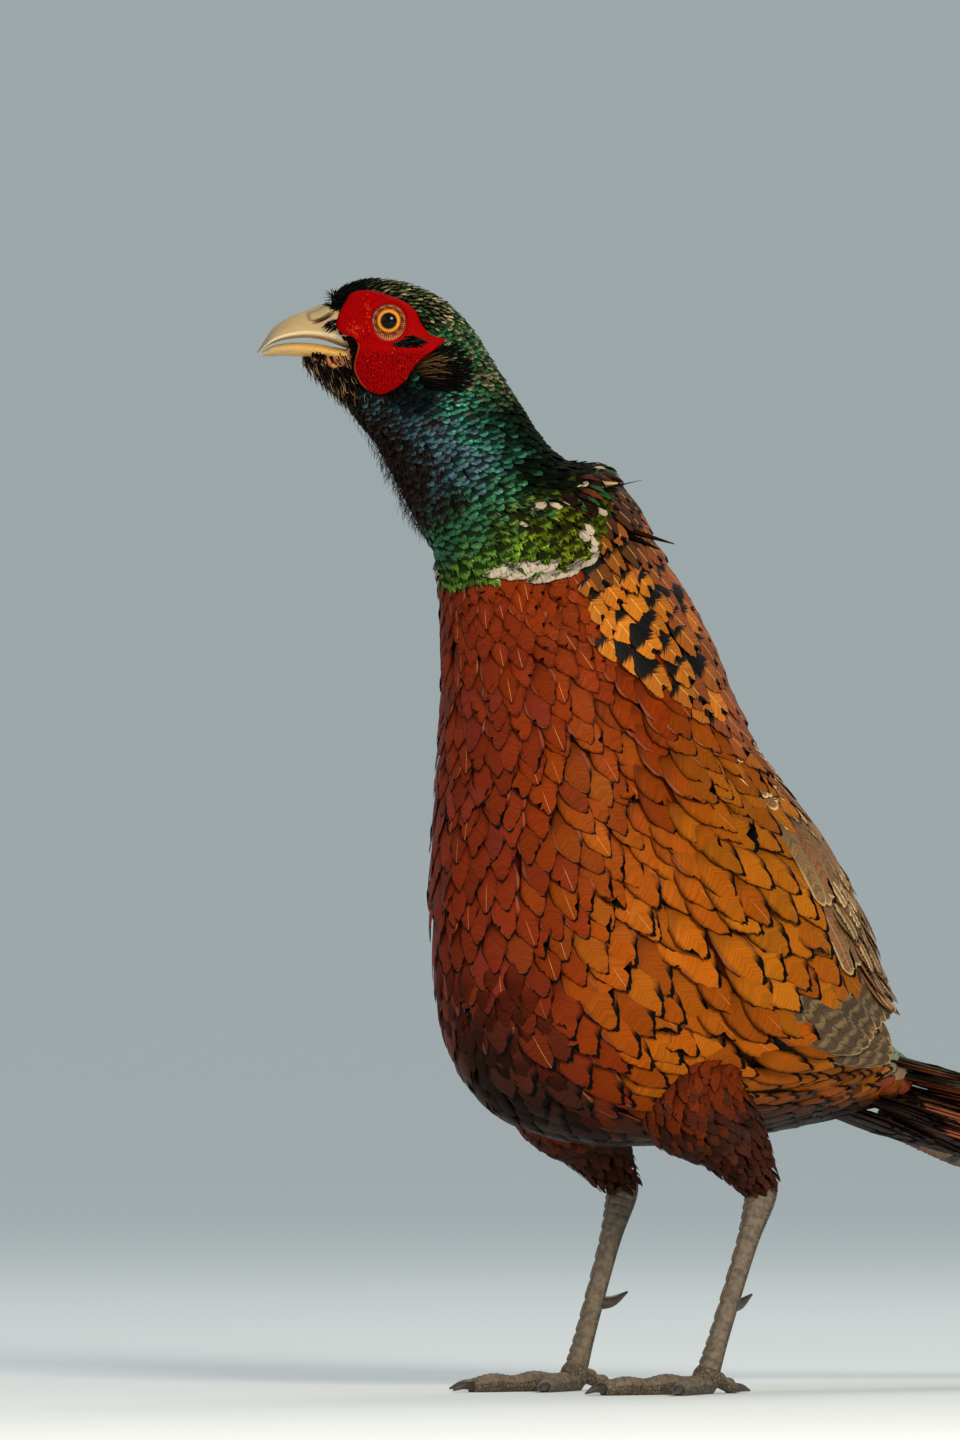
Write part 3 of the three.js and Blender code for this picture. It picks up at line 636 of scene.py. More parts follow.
def by_station(step, *table):
    """A size that changes along the body: step times what the table says at each station."""
    return lambda a, b=None: step * along_table(a, table)


# Materials


class Value:
    """A number or colour in a node tree. Arithmetic on it adds the nodes that work it out."""

    def __init__(self, graph, socket):
        self.graph, self.socket = graph, socket

    def __add__(self, other):
        return self.graph.math("ADD", self, other)

    def __sub__(self, other):
        return self.graph.math("SUBTRACT", self, other)

    def __rsub__(self, other):
        return self.graph.math("SUBTRACT", other, self)

    def __mul__(self, other):
        return self.graph.math("MULTIPLY", self, other)

    def __truediv__(self, other):
        return self.graph.math("DIVIDE", self, other)

    def __abs__(self):
        return self.graph.math("ABSOLUTE", self)

    def __or__(self, other):
        return self.graph.math("MAXIMUM", self, other)

    def band(self, low, high, to_low=0.0, to_high=1.0):
        """A smooth step from to_low, where the value is at low, to to_high."""
        made = self.graph.tree.nodes.new("ShaderNodeMapRange")
        made.interpolation_type = "SMOOTHSTEP"
        for socket, given in zip(made.inputs, (self, low, high, to_low, to_high)):
            self.graph.feed(socket, given)
        return Value(self.graph, made.outputs[0])

    def scaled(self, amount):
        """A vector made longer or a colour made lighter by an amount."""
        return self.graph.node("ShaderNodeVectorMath", {"operation": "SCALE"}, Vector=self,
                               Scale=amount)["Vector"]


class Graph:
    """A node tree that grows call by call."""

    def __init__(self, tree):
        self.tree = tree

    def feed(self, socket, value):
        if isinstance(value, Value):
            self.tree.links.new(value.socket, socket)
        else:
            socket.default_value = value

    def outputs(self, node):
        return {socket.name: Value(self, socket) for socket in node.outputs}

    def node(self, kind, settings=None, **inputs):
        """Adds a node and gives its outputs by their names."""
        made = self.tree.nodes.new(kind)
        for key, value in (settings or {}).items():
            setattr(made, key, value)
        for key, value in inputs.items():
            self.feed(made.inputs[key.replace("_", " ")], value)
        return self.outputs(made)

    def math(self, operation, *values):
        made = self.tree.nodes.new("ShaderNodeMath")
        made.operation = operation
        for socket, value in zip(made.inputs, values):
            self.feed(socket, value)
        return Value(self, made.outputs[0])

    def mix(self, share, a, b):
        made = self.tree.nodes.new("ShaderNodeMix")
        made.data_type = "RGBA"
        for index, given in ((0, share), (6, a), (7, b)):
            self.feed(made.inputs[index], given)
        return Value(self, made.outputs[2])

    def noise(self, where, scale, detail, rough):
        return self.node("ShaderNodeTexNoise", Vector=where, Scale=scale, Detail=detail,
                         Roughness=rough)["Fac"]

    def attribute(self, name, output="Color"):
        return self.node("ShaderNodeAttribute", {"attribute_name": name})[output]

    def spot(self):
        return self.node("ShaderNodeTexCoord")["Object"]

    def joined(self, x, y, z=0.0):
        return self.node("ShaderNodeCombineXYZ", X=x, Y=y, Z=z)["Vector"]

    def split(self, vector):
        return self.node("ShaderNodeSeparateXYZ", Vector=vector).values()


def group_of(name, inputs, outputs, work):
    """A shader node group, made once. Inputs are names and defaults, a number, a colour or none
    for a vector; work(graph, inputs) gives the outputs' values."""
    if name in bpy.data.node_groups:
        return bpy.data.node_groups[name]
    tree = bpy.data.node_groups.new(name, "ShaderNodeTree")
    kinds = {type(None): "NodeSocketVector", float: "NodeSocketFloat", tuple: "NodeSocketColor"}
    for key, value in inputs.items():
        socket = tree.interface.new_socket(name=key, in_out="INPUT",
                                           socket_type=kinds[type(value)])
        if value is not None:
            socket.default_value = value
    for key in outputs:
        kind = "NodeSocketColor" if key == "Color" else "NodeSocketFloat"
        tree.interface.new_socket(name=key, in_out="OUTPUT", socket_type=kind)
    g = Graph(tree)
    given = g.outputs(tree.nodes.new("NodeGroupInput"))
    put = tree.nodes.new("NodeGroupOutput")
    for key, value in zip(outputs, work(g, given)):
        g.feed(put.inputs[key], value)
    return tree


def vane_marks(g, given):
    """Where a point lies on its feather, in mm from the rim and from the shaft, and its barbs."""
    wide, down, _ = g.split(given["Vane"])
    half, long, chance = g.split(given["Measure"])
    across = wide * 2.0 - 1.0
    from_shaft = abs(across) * half
    along = down * long
    from_tip = long - along
    barb_way = (along - from_shaft * 0.8) / given["Barb Pitch"]
    barbs = g.noise(g.joined(across * 0.25, barb_way, chance * 61.0), 1.0, 2.0, 0.6)
    ragged = (barbs - 0.5) * 1.4
    rim = g.math("SMOOTH_MIN", (1.0 - abs(across)) * half, from_tip, 0.8)
    shaft = from_shaft.band(0.0, given["Shaft Width"], 1.0, 0.0)
    return (rim + ragged, from_tip + ragged, shaft, barbs, chance, along, across * half,
            barbs + shaft * 0.6)


VANE_MARKS = ("Rim Distance", "Tip Distance", "Shaft", "Barbs", "Chance", "Along", "Across",
              "Height")


def worn_tone(g, given):
    """Small uneven changes of tone over a finish, and the grain that makes them."""
    grain = g.noise(g.spot().scaled(given["Grain"]), 1.0, 3.0, 0.6)
    return given["Color"].scaled(1.0 - given["Amount"] * grain.band(0.35, 0.7)), grain


class Finish:
    """A material with one Principled shader, and calls for what feeds it."""

    def __init__(self, name):
        self.material = bpy.data.materials.new(name)
        self.material.use_nodes = True
        self.g = Graph(self.material.node_tree)
        self.shader = self.material.node_tree.nodes["Principled BSDF"]

    def set(self, **inputs):
        for key, value in inputs.items():
            self.g.feed(self.shader.inputs[key.replace("_", " ")], value)
        return self

    def bump(self, height, strength, distance=0.0004):
        relief = self.g.node("ShaderNodeBump", Height=height, Strength=strength, Distance=distance)
        return self.set(Normal=relief["Normal"])

    def carried(self):
        """The three numbers that a point carries."""
        return self.g.split(self.g.attribute("measure", "Vector"))

    def worn(self, tone, grain, amount):
        """A colour with small uneven changes, and their relief."""
        group = group_of("Worn tone", {"Color": (0.5, 0.5, 0.5, 1.0), "Grain": 300.0,
                                       "Amount": 0.2}, ("Color", "Grain"), worn_tone)
        return self.g.node("ShaderNodeGroup", {"node_tree": group}, Color=tone, Grain=grain,
                           Amount=amount).values()


class FeatherFinish(Finish):
    """A feather's material: its marks by where a point lies on the vane, and its two tones."""

    def __init__(self, name, pitch, shaft):
        super().__init__(name)
        g = self.g
        group = group_of("Vane marks", {"Vane": None, "Measure": None, "Barb Pitch": 0.9,
                                        "Shaft Width": 0.35}, VANE_MARKS, vane_marks)
        self.vane = g.node("ShaderNodeUVMap", {"uv_map": "vane"})["UV"]
        marks = g.node("ShaderNodeGroup", {"node_tree": group}, Vane=self.vane,
                       Measure=g.attribute("measure", "Vector"), Barb_Pitch=pitch,
                       Shaft_Width=shaft)
        (self.rim, self.tip, self.shaft, self.barbs, self.chance, self.along, self.across,
         self.height) = marks.values()
        self.ground = g.attribute("ground")
        self.mark = g.attribute("mark")

    def share(self):
        """0 at a feather's root and 1 at its tip."""
        return list(self.g.split(self.vane))[1]

    def amount(self):
        """The fourth value of the mark: how much of the finish shows, or which side it is on."""
        return self.g.attribute("mark", "Alpha")

    def streaked(self, tone, low=0.62, high=1.25):
        """A colour that is darker and lighter from barb to barb."""
        return tone.scaled(self.barbs.band(0.3, 0.7, low, high))

    def done(self, tone, rough, gloss, relief):
        """The finished material. Rough is a number, or one each for raised and sunk barbs."""
        if isinstance(rough, tuple):
            rough = self.barbs.band(0.2, 0.8, *rough)
        self.set(Base_Color=tone, Roughness=rough, Specular_IOR_Level=gloss)
        return self.bump(self.height, relief).material


def scaly_gloss(name, bright_from, metal, rough):
    """Feathers whose outer part is glossy and whose hidden base and very rim are dark."""
    f = FeatherFinish(name, 0.55, 0.2)
    lit = f.share().band(bright_from, bright_from + 0.16) * f.rim.band(-0.1, 0.35, 0.35, 1.0)
    f.set(Metallic=lit * f.amount() * metal)
    tone = f.g.mix(lit, f.ground, f.streaked(f.mark, 0.55, 1.35))
    return f.done(tone, (rough + 0.14, rough), 0.005, 0.5)


def rimmed(name, rim, soft, rough, shaft_tone=None):
    """Contour feathers: a ground, a rim of another colour towards the tip, a pale shaft line."""
    f = FeatherFinish(name, 0.9, 0.3)
    share = f.share()
    tone = f.streaked(f.ground).scaled(share.band(0.1, 0.6, 0.35, 1.0))
    if shaft_tone is not None:
        tone = f.g.mix(f.shaft * f.chance.band(0.4, 0.6, 0.0, 0.6), tone, shaft_tone)
    edge = f.rim.band(rim - soft, rim + soft, 1.0, 0.0) * share.band(0.55, 0.8) * f.amount()
    return f.done(f.g.mix(edge, tone, f.mark), (rough + 0.12, rough), 0.08, 0.45)


def plain_feather(name, rough=0.6):
    """Small soft feathers and hairs of one tone each."""
    f = FeatherFinish(name, 0.6, 0.15)
    tone = f.g.mix(f.share().band(0.25, 0.8), f.ground, f.mark)
    return f.done(f.streaked(tone, 0.7, 1.2), rough, 0.03, 0.35)


def under_plumage(name):
    """The skin below the feathers, in their own dark tones."""
    f = Finish(name)
    tone, grain = f.worn(f.g.attribute("ground"), 900.0, 0.4)
    f.set(Base_Color=tone, Roughness=0.85, Specular_IOR_Level=0.05)
    return f.bump(grain, 0.5, 0.001).material


# Plumage colours by place


def folded(angle):
    """Degrees from the middle of the back, the same on both sides."""
    turn = np.degrees(np.asarray(angle))
    return np.abs((turn + 180) % 360 - 180)


def neck_tones(station, angle, random):
    """Ground and gloss of the neck's scales: brown-black in front, blue and teal on the side, green
    behind, and moss green at its foot, with painted shade on the hindneck, low on the side and
    below the wattle's lobe."""
    t = folded(angle) + random.normal(0, 7, len(station))
    s = station + random.normal(0, 0.18, len(station))
    gloss = blend_tones(paint("neck_blue"), paint("neck_teal"),
                        ease(random.random(len(s)) + ease(t, 118, 70) - 0.5, 0.3, 0.8))
    gloss = over(gloss, "neck_green", ease(t, 74, 48))
    gloss = over(gloss, "neck_green", ease(s, 8.6, 9.6) * 0.8)
    gloss = over(gloss, "neck_moss", ease(s, 9.7, 10.5) * ease(t, 150, 118))
    foot = ease(s, 10.0, 10.7) * ease(t, 106, 122)
    gloss = blend_tones(gloss, paint("neck_moss") * (1.15, 1.7, 2.2), foot * 0.8)
    olive = ease(t, 66, 40) * ease(s, 8.4, 6.4) * (random.random(len(s)) < 0.5)
    gloss = over(gloss, "crown_green", olive * 0.8)
    purple = ease(s, 8.6, 7.0) * (random.random(len(s)) < 0.14) * 0.6
    gloss = over(gloss, "neck_purple", purple)
    # Painted shade: the scales below and behind the wattle's lobe are made dark
    ahead, above, _ = in_head(BIRD.place(station, angle))
    under_lobe_shade = np.exp(-(((ahead + 6) / 11) ** 2 + ((above + 26) / 7.5) ** 2))
    under_lobe_shade = np.clip(1.4 * under_lobe_shade, 0, 1)
    front = ease(t, 126, 150) * ease(s, 9.6, 8.2)
    gloss = over(gloss, "throat_brown", front * 0.9)
    # Painted shade on the hindneck and in a hollow low on the side of the neck; the shaded scales
    # also lose most of their metal gloss
    shadow = ease(t, 84, 58) * ease(s, 6.5, 7.5) * ease(s, 10.9, 10.3) * 0.9
    hollow_shade = ease(t, 98, 86) * ease(s, 8.7, 9.2) * ease(s, 10.6, 10.2) * 0.96
    shadow = np.maximum(shadow, hollow_shade)
    gloss = gloss * random.uniform(0.6, 1.2, (len(s), 1))
    gloss = gloss * ((1 - shadow) * (1 - 0.93 * under_lobe_shade))[:, None]
    ground = blend_tones(paint("feather_black"), gloss, 0.12)
    return ground, np.column_stack([gloss, 1 - np.maximum(0.9 * front, shadow)])


def breast_tones(station, angle, random):
    """Copper on the sides, maroon with a painted purple sheen in front, orange towards the flanks.
    """
    t = folded(angle) + random.normal(0, 5, len(station))
    s = station + random.normal(0, 0.12, len(station))
    tone = over(paint("breast_copper"), "flank_orange",
                ease(s - ease(t, 128, 90) * 0.9, 11.7, 13.6) * ease(t, 148, 112) * 0.85)
    side = ease(t, 104, 84) * ease(s, 12.1, 13.1)
    tone = blend_tones(tone, paint("flank_orange") * (0.78, 1.0, 0.86), side * 0.75)
    odd = random.random(len(s))
    tone = over(tone, "breast_copper", ease(odd, 0.62, 1.0) * 0.4)
    tone = over(tone, "mantle_gold", ease(odd, 0.25, 0.0) * ease(s, 12.4, 14) * 0.24)
    tone = over(tone, "breast_maroon", ease(t, 134, 158))
    # A painted purple sheen on a few feathers in front of the breast
    sheen = ease(t, 138, 162) * (random.random(len(s)) < 0.2) * 0.12 * ease(s, 11.2, 12)
    tone = over(tone, "breast_painted_sheen", sheen)
    tone = over(tone, "belly_brown", ease(s, 13.8, 15.2) * ease(t, 140, 165))
    tone = over(tone, "belly_brown", ease(s, 16.0, 17.4) * ease(t, 100, 130))
    return with_black(tone * random.uniform(0.78, 1.16, (len(s), 1)))


def back_tones(station, angle, random):
    """Gold mantle, chestnut back, then the green-grey rump."""
    t = folded(angle) + random.normal(0, 4, len(station))
    s = station + random.normal(0, 0.12, len(station))
    rufous = paint("scapular_chestnut") * 0.92
    tone = over(paint("mantle_gold"), "flank_orange",
                ease(random.random(len(s)), 0.3, 0.9) * 0.7)
    tone = blend_tones(tone, rufous, ease(random.random(len(s)) + ease(t, 84, 60), 0.7, 1.3) * 0.8)
    tone = blend_tones(tone, rufous, ease(s, 11.7, 12.6) * 0.3) * 0.94
    tone = over(tone, "throat_brown", ease(s, 11.3, 10.95) * 0.85)
    tone = over(tone, "scapular_chestnut", ease(s, 12.8, 13.8))
    tone = over(tone, "rump_green", ease(s, 14.6, 15.8))
    tone = over(tone, "scapular_chestnut", ease(s, 16, 18) * ease(t, 60, 90))
    return with_black(tone * random.uniform(0.75, 1.2, (len(s), 1)))


def with_black(tone):
    """A ground with the plumage's black for its marks."""
    return tone, np.broadcast_to(paint("feather_black"), tone.shape)


class Steady:
    """Stands in for random draws where tones are wanted without their chance."""

    def normal(self, mean, spread, count):
        return np.zeros(count)

    def random(self, count):
        return np.full(count, 0.5)

    def uniform(self, low, high, shape):
        return np.full(shape, (low + high) / 2)


def skin_tones(station, angle):
    """The same zones as the plumage, darker."""
    steady = Steady()
    t = folded(angle)
    neck = neck_tones(station, angle, steady)[1][:, :3] * 0.25
    breast = breast_tones(station, angle, steady)[0] * 0.55
    back = back_tones(station, angle, steady)[0] * 0.5
    trunk = blend_tones(back, breast, ease(t, 88, 100))
    tone = blend_tones(neck, trunk, ease(station, 11.0, 11.3))
    return blend_tones(paint("feather_black"), tone, ease(station, 4.5, 6.0))


# Skin under the coat

SKIN_VOXEL = 1.8
THIGH_DEPTH = 2.2  # how deep the skin lies under the plumage of the thighs
JAW_DEPTH = 0.6  # and under that of the lower jaw
MOUTH_ROOT = 14.5  # the corner of the mouth, ahead of the eye


def shell(points):
    """Faces of a closed tube of rings with flat ends."""
    rows, cols = points.shape[:2]
    quads = grid_faces(rows, cols, closed=True)
    first, last = np.arange(cols)[None, ::-1], np.arange((rows - 1) * cols, rows * cols)[None, :]
    return [quads, first, last]


def form(name, points, material, slot, *nodes, **carried):
    """A closed tube of rings as a piece of its own."""
    piece = Lot().add(points, shell(points), **carried).make(name, material)
    finish(piece, slot, *nodes)


def tube(run, a_values, height, sides, shape=None):
    """Points of rings round a run."""
    a, b = np.broadcast_arrays(np.asarray(a_values, float)[:, None], circle(sides)[None, :])
    return (shape or run.place)(a, b, height)


def limb_run(points, radii, up=None, steps=6):
    """A limb through points with radii. Its angle 0 is behind, or above where up is given."""
    radii = np.repeat(np.array(radii, float)[:, None], 3, 1)
    path = Run(np.stack([np.array(points, float), radii, np.ones_like(radii)], 1))
    centre, radius, _ = path.section(np.linspace(0, path.count, path.count * steps + 1))
    way = unit(np.gradient(centre, axis=0))
    if up is None:
        reach = unit(LEFT - way * (way @ LEFT)[:, None])
    else:
        reach = unit(np.cross(way, up))
    rise = np.cross(reach, way)
    return Run(np.stack([centre, rise * radius[:, :1], reach * radius[:, :1]], 1))


def at(place, side):
    return np.array((place[0], -side * place[1], place[2]), float)


# Places down the left leg: back, to the left, up. The thigh's half thickness at the first four
HIP, KNEE, DRUMSTICK = (84, 27, 132), (72, 35, 112), (88, 40, 94)
HOCK, ANKLE_PAD = (104, 40, 76), (78, 38, 6)
THIGH_RADII = (19, 23, 14, 6.8)


def thigh_run(side):
    return limb_run([at(p, side) for p in (HIP, KNEE, DRUMSTICK, HOCK)], THIGH_RADII)


def build_skin():
    """One closed skin for head, neck, trunk and thighs, inside the solids by the coat's depth."""
    lot = Lot()
    a = np.linspace(0.02, RUMP, 220)
    body = tube(BIRD, a, 0.0, 72, lambda a, b, height: BIRD.place(a, b, -skin_depth(a, b)))
    ahead, above, _ = in_head(body)
    open_mouth = ease(above, -1.5, -4.5) * ease(above, -12.6, -11.2)
    body = body - FORWARD * (np.clip(ahead - MOUTH_ROOT, 0, None) * open_mouth)[..., None]
    jaw = tube(JAW, np.linspace(0, JAW.count, 20), -JAW_DEPTH, 32)
    thighs = [tube(run, np.linspace(0, run.count, 50), -THIGH_DEPTH, 32)
              for run in map(thigh_run, SIDES.values())]
    for part in (body, jaw, *thighs):
        lot.add(part, shell(part))
    piece = lot.make("skin", under_plumage("skin under the feathers"))
    select_only(piece)
    fused = piece.modifiers.new("fused", "REMESH")
    fused.mode, fused.voxel_size, fused.use_smooth_shade = "VOXEL", SKIN_VOXEL * MM, True
    bpy.ops.object.modifier_apply(modifier=fused.name)
    eased = piece.modifiers.new("eased", "SMOOTH")
    eased.iterations = 3
    bpy.ops.object.modifier_apply(modifier=eased.name)

    # Each point takes the tone of the place on the body that is nearest to it
    sample_a, sample_b = every_pair(np.linspace(0, RUMP, 240), np.linspace(*ALL_ROUND, 120))
    tree = search_tree(BIRD.place(sample_a, sample_b))
    points = np.empty(len(piece.data.vertices) * 3, np.float32)
    piece.data.vertices.foreach_get("co", points)
    points = points.reshape(-1, 3) / MM - SHIFT
    nearest = np.array([tree.find(p)[1] for p in points])
    tones = skin_tones(sample_a[nearest], sample_b[nearest])
    ahead, above, _ = in_head(points)
    flesh = inside_curve(np.array(FLESH), ahead, above)
    tones[flesh] = paint("gape_flesh") * draws("flesh").uniform(0.8, 1.1, (flesh.sum(), 1))
    carry(piece.data, "ground", solid(tones))
    finish(piece, "breast_feather", "torso", "neck", "head", "thigh_left", "thigh_right")


# Neck, collar and trunk


def body_roots(a, b):
    return unwrapped("body", (np.asarray(b) / TURN) % 1.0, np.asarray(a) / RUMP)


def body_feathers(coat, a, b, long, half, low, high, ground, mark, *, rows=7, cols=7, drift=0.0,
                  camber=0.1, roll=0.08, place=BIRD.place, roots=None, hand=1, **outline):
    """Lays feathers on the body from places on it, with a little chance in each."""
    n, random = len(a), coat.random
    long = long * random.uniform(0.86, 1.14, n)
    half = half * random.uniform(0.9, 1.1, n)
    along, across = outline_grid(n, rows, cols, long, half, random, **outline)
    height = vane_height(n, rows, cols, low, high + random.normal(0, 0.12, n), half,
                         camber=camber, roll=random.normal(0, roll, n))
    way = drift + random.normal(0, 0.07, n)
    grid = lay(place, a, b, along, across, height, drift=way, hand=hand)
    roots = body_roots(a, b) if roots is None else roots
    coat.add(grid, roots, ground, mark, np.stack([half, long], -1))


def neck_edge(b):
    """The station where the neck's feathers end, by the angle from the back."""
    return along_table(folded(b), ((0, 10.72), (50, 10.72), (75, 10.96), (88, 11.14), (94, 11.32),
                                   (114, 11.37), (128, 11.28), (138, 11.16), (150, 11.07),
                                   (180, 11.05)))


def build_neck():
    """Glossy scales, and at the neck's foot longer and looser moss-green feathers."""
    step = size("neck_scale")
    a, b = scattered("neck", BIRD.place, (4.4, 11.4), ALL_ROUND,
                     by_station(step, (4.4, 0.8), (8, 1), (11, 1.3)),
                     keep=lambda a, b: (a < neck_edge(b) - 0.1 - 0.14 * on_collar(b))
                     & ~on_bare_head(a, b))
    random = draws("neck tones")
    loose = a + random.normal(0, 0.12, len(a)) > 9.9 + 0.6 * ease(folded(b), 120, 160)
    ground, gloss = neck_tones(a, b, random)
    long = by_station(step, (4.4, 2.1), (8, 2.9), (10, 3.7), (11, 4.2))(a)
    half = by_station(step, (4.4, 0.74), (8, 1.0), (10, 1.2), (11, 1.35))(a)
    glossy = scaly_gloss("glossy neck feathers", 0.66, 0.5, 0.32)
    for name, these, cols, high, shape in (
            ("neck_feathers", ~loose, 7, 0.4, dict(fray=0.16, tip=0.95, roll=0.12)),
            ("neck_foot_feathers", loose, 13, 0.9, dict(fray=0.62, tip=0.8, roll=0.25))):
        coat = Coat(name)
        body_feathers(coat, a[these], b[these], long[these], half[these],
                      -coat_depth(a[these]) * 0.8, high, ground[these], gloss[these], cols=cols,
                      camber=0.14, drop=0.6, **shape)
        coat.make(glossy, "neck_feather")


def on_collar(b):
    """1 where the white collar lies along the neck's edge."""
    return ease(folded(b), 90, 98) * ease(folded(b), 152, 144)


def flow(a, b):
    """How far feathers turn from the way of the stations: down and back on the sides."""
    t = folded(b)
    turn = 0.42 * ease(t, 172, 118) * ease(t, 0, 40) * ease(a, 10.8, 11.8)
    return -np.sign(np.sin(b)) * turn


def shoulder_edge(a):
    """Where mantle and breast meet, in degrees from the back."""
    return along_table(a, ((11, 107), (11.4, 111), (11.8, 107), (11.95, 97), (12.15, 91),
                           (12.5, 81), (12.8, 66), (13.1, 56), (14, 52)))


def wing_edge(a):
    """Where the wing shows, in degrees from the back: below it lie mantle and flank."""
    return along_table(a, ((11.9, 0), (12.3, 30), (12.85, 54), (13.1, 54), (13.6, 49), (14, 50),
                           (14.5, 53), (15.25, 59), (15.84, 61), (16.5, 67), (17.3, 72),
                           (18.4, 70), (19, 0)))


def over_wing(a, b):
    """How far the folded wing's inner form and flight feathers stand above the trunk."""
    half = length_of(BIRD.section(a)[2])
    along = np.asarray(a) - TRUNK_TOP
    spread = np.interp(along, np.arange(len(WING_WRAP)), WING_WRAP) - half
    t = folded(b)
    on_core = ease(along, 0.25, 1.15) * ease(along, 5.9, 5.0)
    return (spread * np.sin(np.radians(t)) + 5.4) * on_core * ease(t, 116, 90) * ease(t, 14, 30)


def build_contour(name, stations, spacing, keep, long, half, low, high, tones, material, **shape):
    """Contour feathers of one zone of the trunk. Spacing, length and half width go by station."""
    coat = Coat(name)
    a, b = scattered(name, BIRD.place, stations, ALL_ROUND, spacing, keep=keep)
    ground, mark = tones(a, b, coat.random)
    # The mark's fourth value says on which side of the body a feather lies
    mark = np.column_stack([mark, b > 0])
    level = over_wing(a, b)
    body_feathers(coat, a, b, long(a), half(a), level + low, level + high, ground, mark,
                  drift=flow(a, b), **shape)
    coat.make(material, "breast_feather")


def breast_end(b):
    """The station where the breast feathers give way to the flank's."""
    return 13.5 + 1.2 * ease(folded(b), 100, 150)


def build_breast():
    step = size("breast_feather")

    def tones(a, b, random):
        ground, mark = breast_tones(a, b, random)
        lacing = ease(a, 11.25, 12.6)[:, None]
        return ground, mark * lacing + ground * 0.8 * (1 - lacing)

    build_contour(
        "breast_feathers", (10.85, 14.8), by_station(step, (11, 0.6), (12, 0.92), (14.4, 1.2)),
        lambda a, b: (folded(b) > shoulder_edge(a)) & (a > neck_edge(b) - 0.2)
        & (a < breast_end(b)),
        by_station(step, (11, 2.2), (12, 3.3), (14.4, 3.8)),
        by_station(step, (11, 0.6), (12, 0.84), (14.4, 1.0)), -2.2, 0.25, tones,
        laced("breast feathers", 0.35, 1.7, 0.7), rows=10, cols=13, camber=0.05, roll=0.07,
        fray=0.14, tip=0.64, drop=1.0, power=1.6)


def build_mantle():
    step = size("breast_feather")
    build_contour(
        "mantle_feathers", (10.5, 13.4),
        by_station(step, (10.6, 0.72), (11.4, 1.0), (12.4, 1.3), (14, 1.4)),
        lambda a, b: (folded(b) <= shoulder_edge(a)) & (folded(b) > wing_edge(a))
        & (a > neck_edge(b) - 0.16),
        by_station(step, (10.6, 2.3), (11.4, 3.0), (12.4, 3.8)),
        by_station(step, (10.6, 0.66), (11.4, 0.82), (12.4, 1.0)), -2.4, 0.9, back_tones,
        notched("mantle feathers"), rows=13, cols=17, camber=0.08, fray=0.14, tip=0.72, drop=0.5,
        power=2.2, notch=0.95)


def notched(name):
    """Gold feathers with a black mark in the cleft of the tip and a black base."""
    f = FeatherFinish(name, 0.9, 0.3)
    share, uneven = f.share(), f.barbs - 0.5
    tone = f.g.mix(f.shaft * 0.6, f.streaked(f.ground, 0.8, 1.15), screen(240, 186, 96))
    cleft = (f.tip + abs(f.across) * 0.9 + uneven * 1.6).band(1.6, 2.4, 1.0, 0.0)
    base = (share + (f.chance * 0.22 + uneven * 0.3)).band(0.62, 0.52)
    rim = f.rim.band(0.25, 0.7, 0.85, 0.0) * share.band(0.6, 0.8)
    return f.done(f.g.mix(cleft | base | rim, tone, f.mark), (0.6, 0.45), 0.08, 0.45)


def build_flanks():
    step = size("flank_feather")
    build_contour(
        "flank_feathers", (12.9, 19.4),
        by_station(step, (12.9, 0.85), (14, 0.98), (16, 1.05), (19, 0.75)),
        lambda a, b: (folded(b) > wing_edge(a) + 3 + 4 * ease(a, 16.2, 17))
        & (folded(b) > 78 * ease(a, 17.6, 18.2)) & (folded(b) < 172)
        & ((folded(b) < shoulder_edge(a)) | (a > breast_end(b) - 0.15)),
        by_station(step, (12.9, 2.8), (14.5, 3.4), (16.5, 3.4), (19, 2.4)),
        by_station(step, (12.9, 0.74), (14.5, 0.86), (19, 0.72)), -2.6, 1.2, breast_tones,
        laced("flank feathers", 0.7, 3.8, 0.42), rows=13, cols=15, camber=0.09, roll=0.09,
        fray=0.16, tip=0.66, drop=1.0, power=1.6)


def laced(name, thin, thick, rim_shade):
    """Rust to orange feathers with a black crescent, thicker on the tip's rear side, and a fine
    pale shaft on some. Painted shade darkens them towards the rim and a painted highlight lightens
    their middle, and some carry a painted pinkish glint along the rim."""
    f = FeatherFinish(name, 0.7, 0.15)
    g, share = f.g, f.share()
    # Painted shade towards the rim, and a painted highlight in the middle
    tone = f.streaked(f.ground, 0.8, 1.16).scaled(f.rim.band(0.1, 2.6, rim_shade, 1.12))
    # A painted pinkish glint along the rim of about a quarter of the feathers
    glint = f.rim.band(0.2, 1.4, 1.0, 0.0) * f.chance.band(0.34, 0.26, 0.0, 0.3)
    tone = g.mix(glint, tone, screen(208, 118, 88)).scaled(share.band(0.1, 0.5, 0.55, 1.0))
    some = f.chance.band(0.72, 0.8) * share.band(0.45, 0.7)
    tone = g.mix(f.shaft * (some * 0.75), tone, screen(226, 158, 96))
    hand = 1.0 - f.amount() * 2.0
    width = (f.across * hand).band(-3.5, 5.0, thin, thick) + (f.barbs - 0.5) * 0.6
    crescent = (f.rim - width).band(-0.15, 0.25, 1.0, 0.0) * share.band(0.6, 0.8)
    return f.done(g.mix(crescent, tone, f.mark), (0.5, 0.38), 0.025, 0.4)


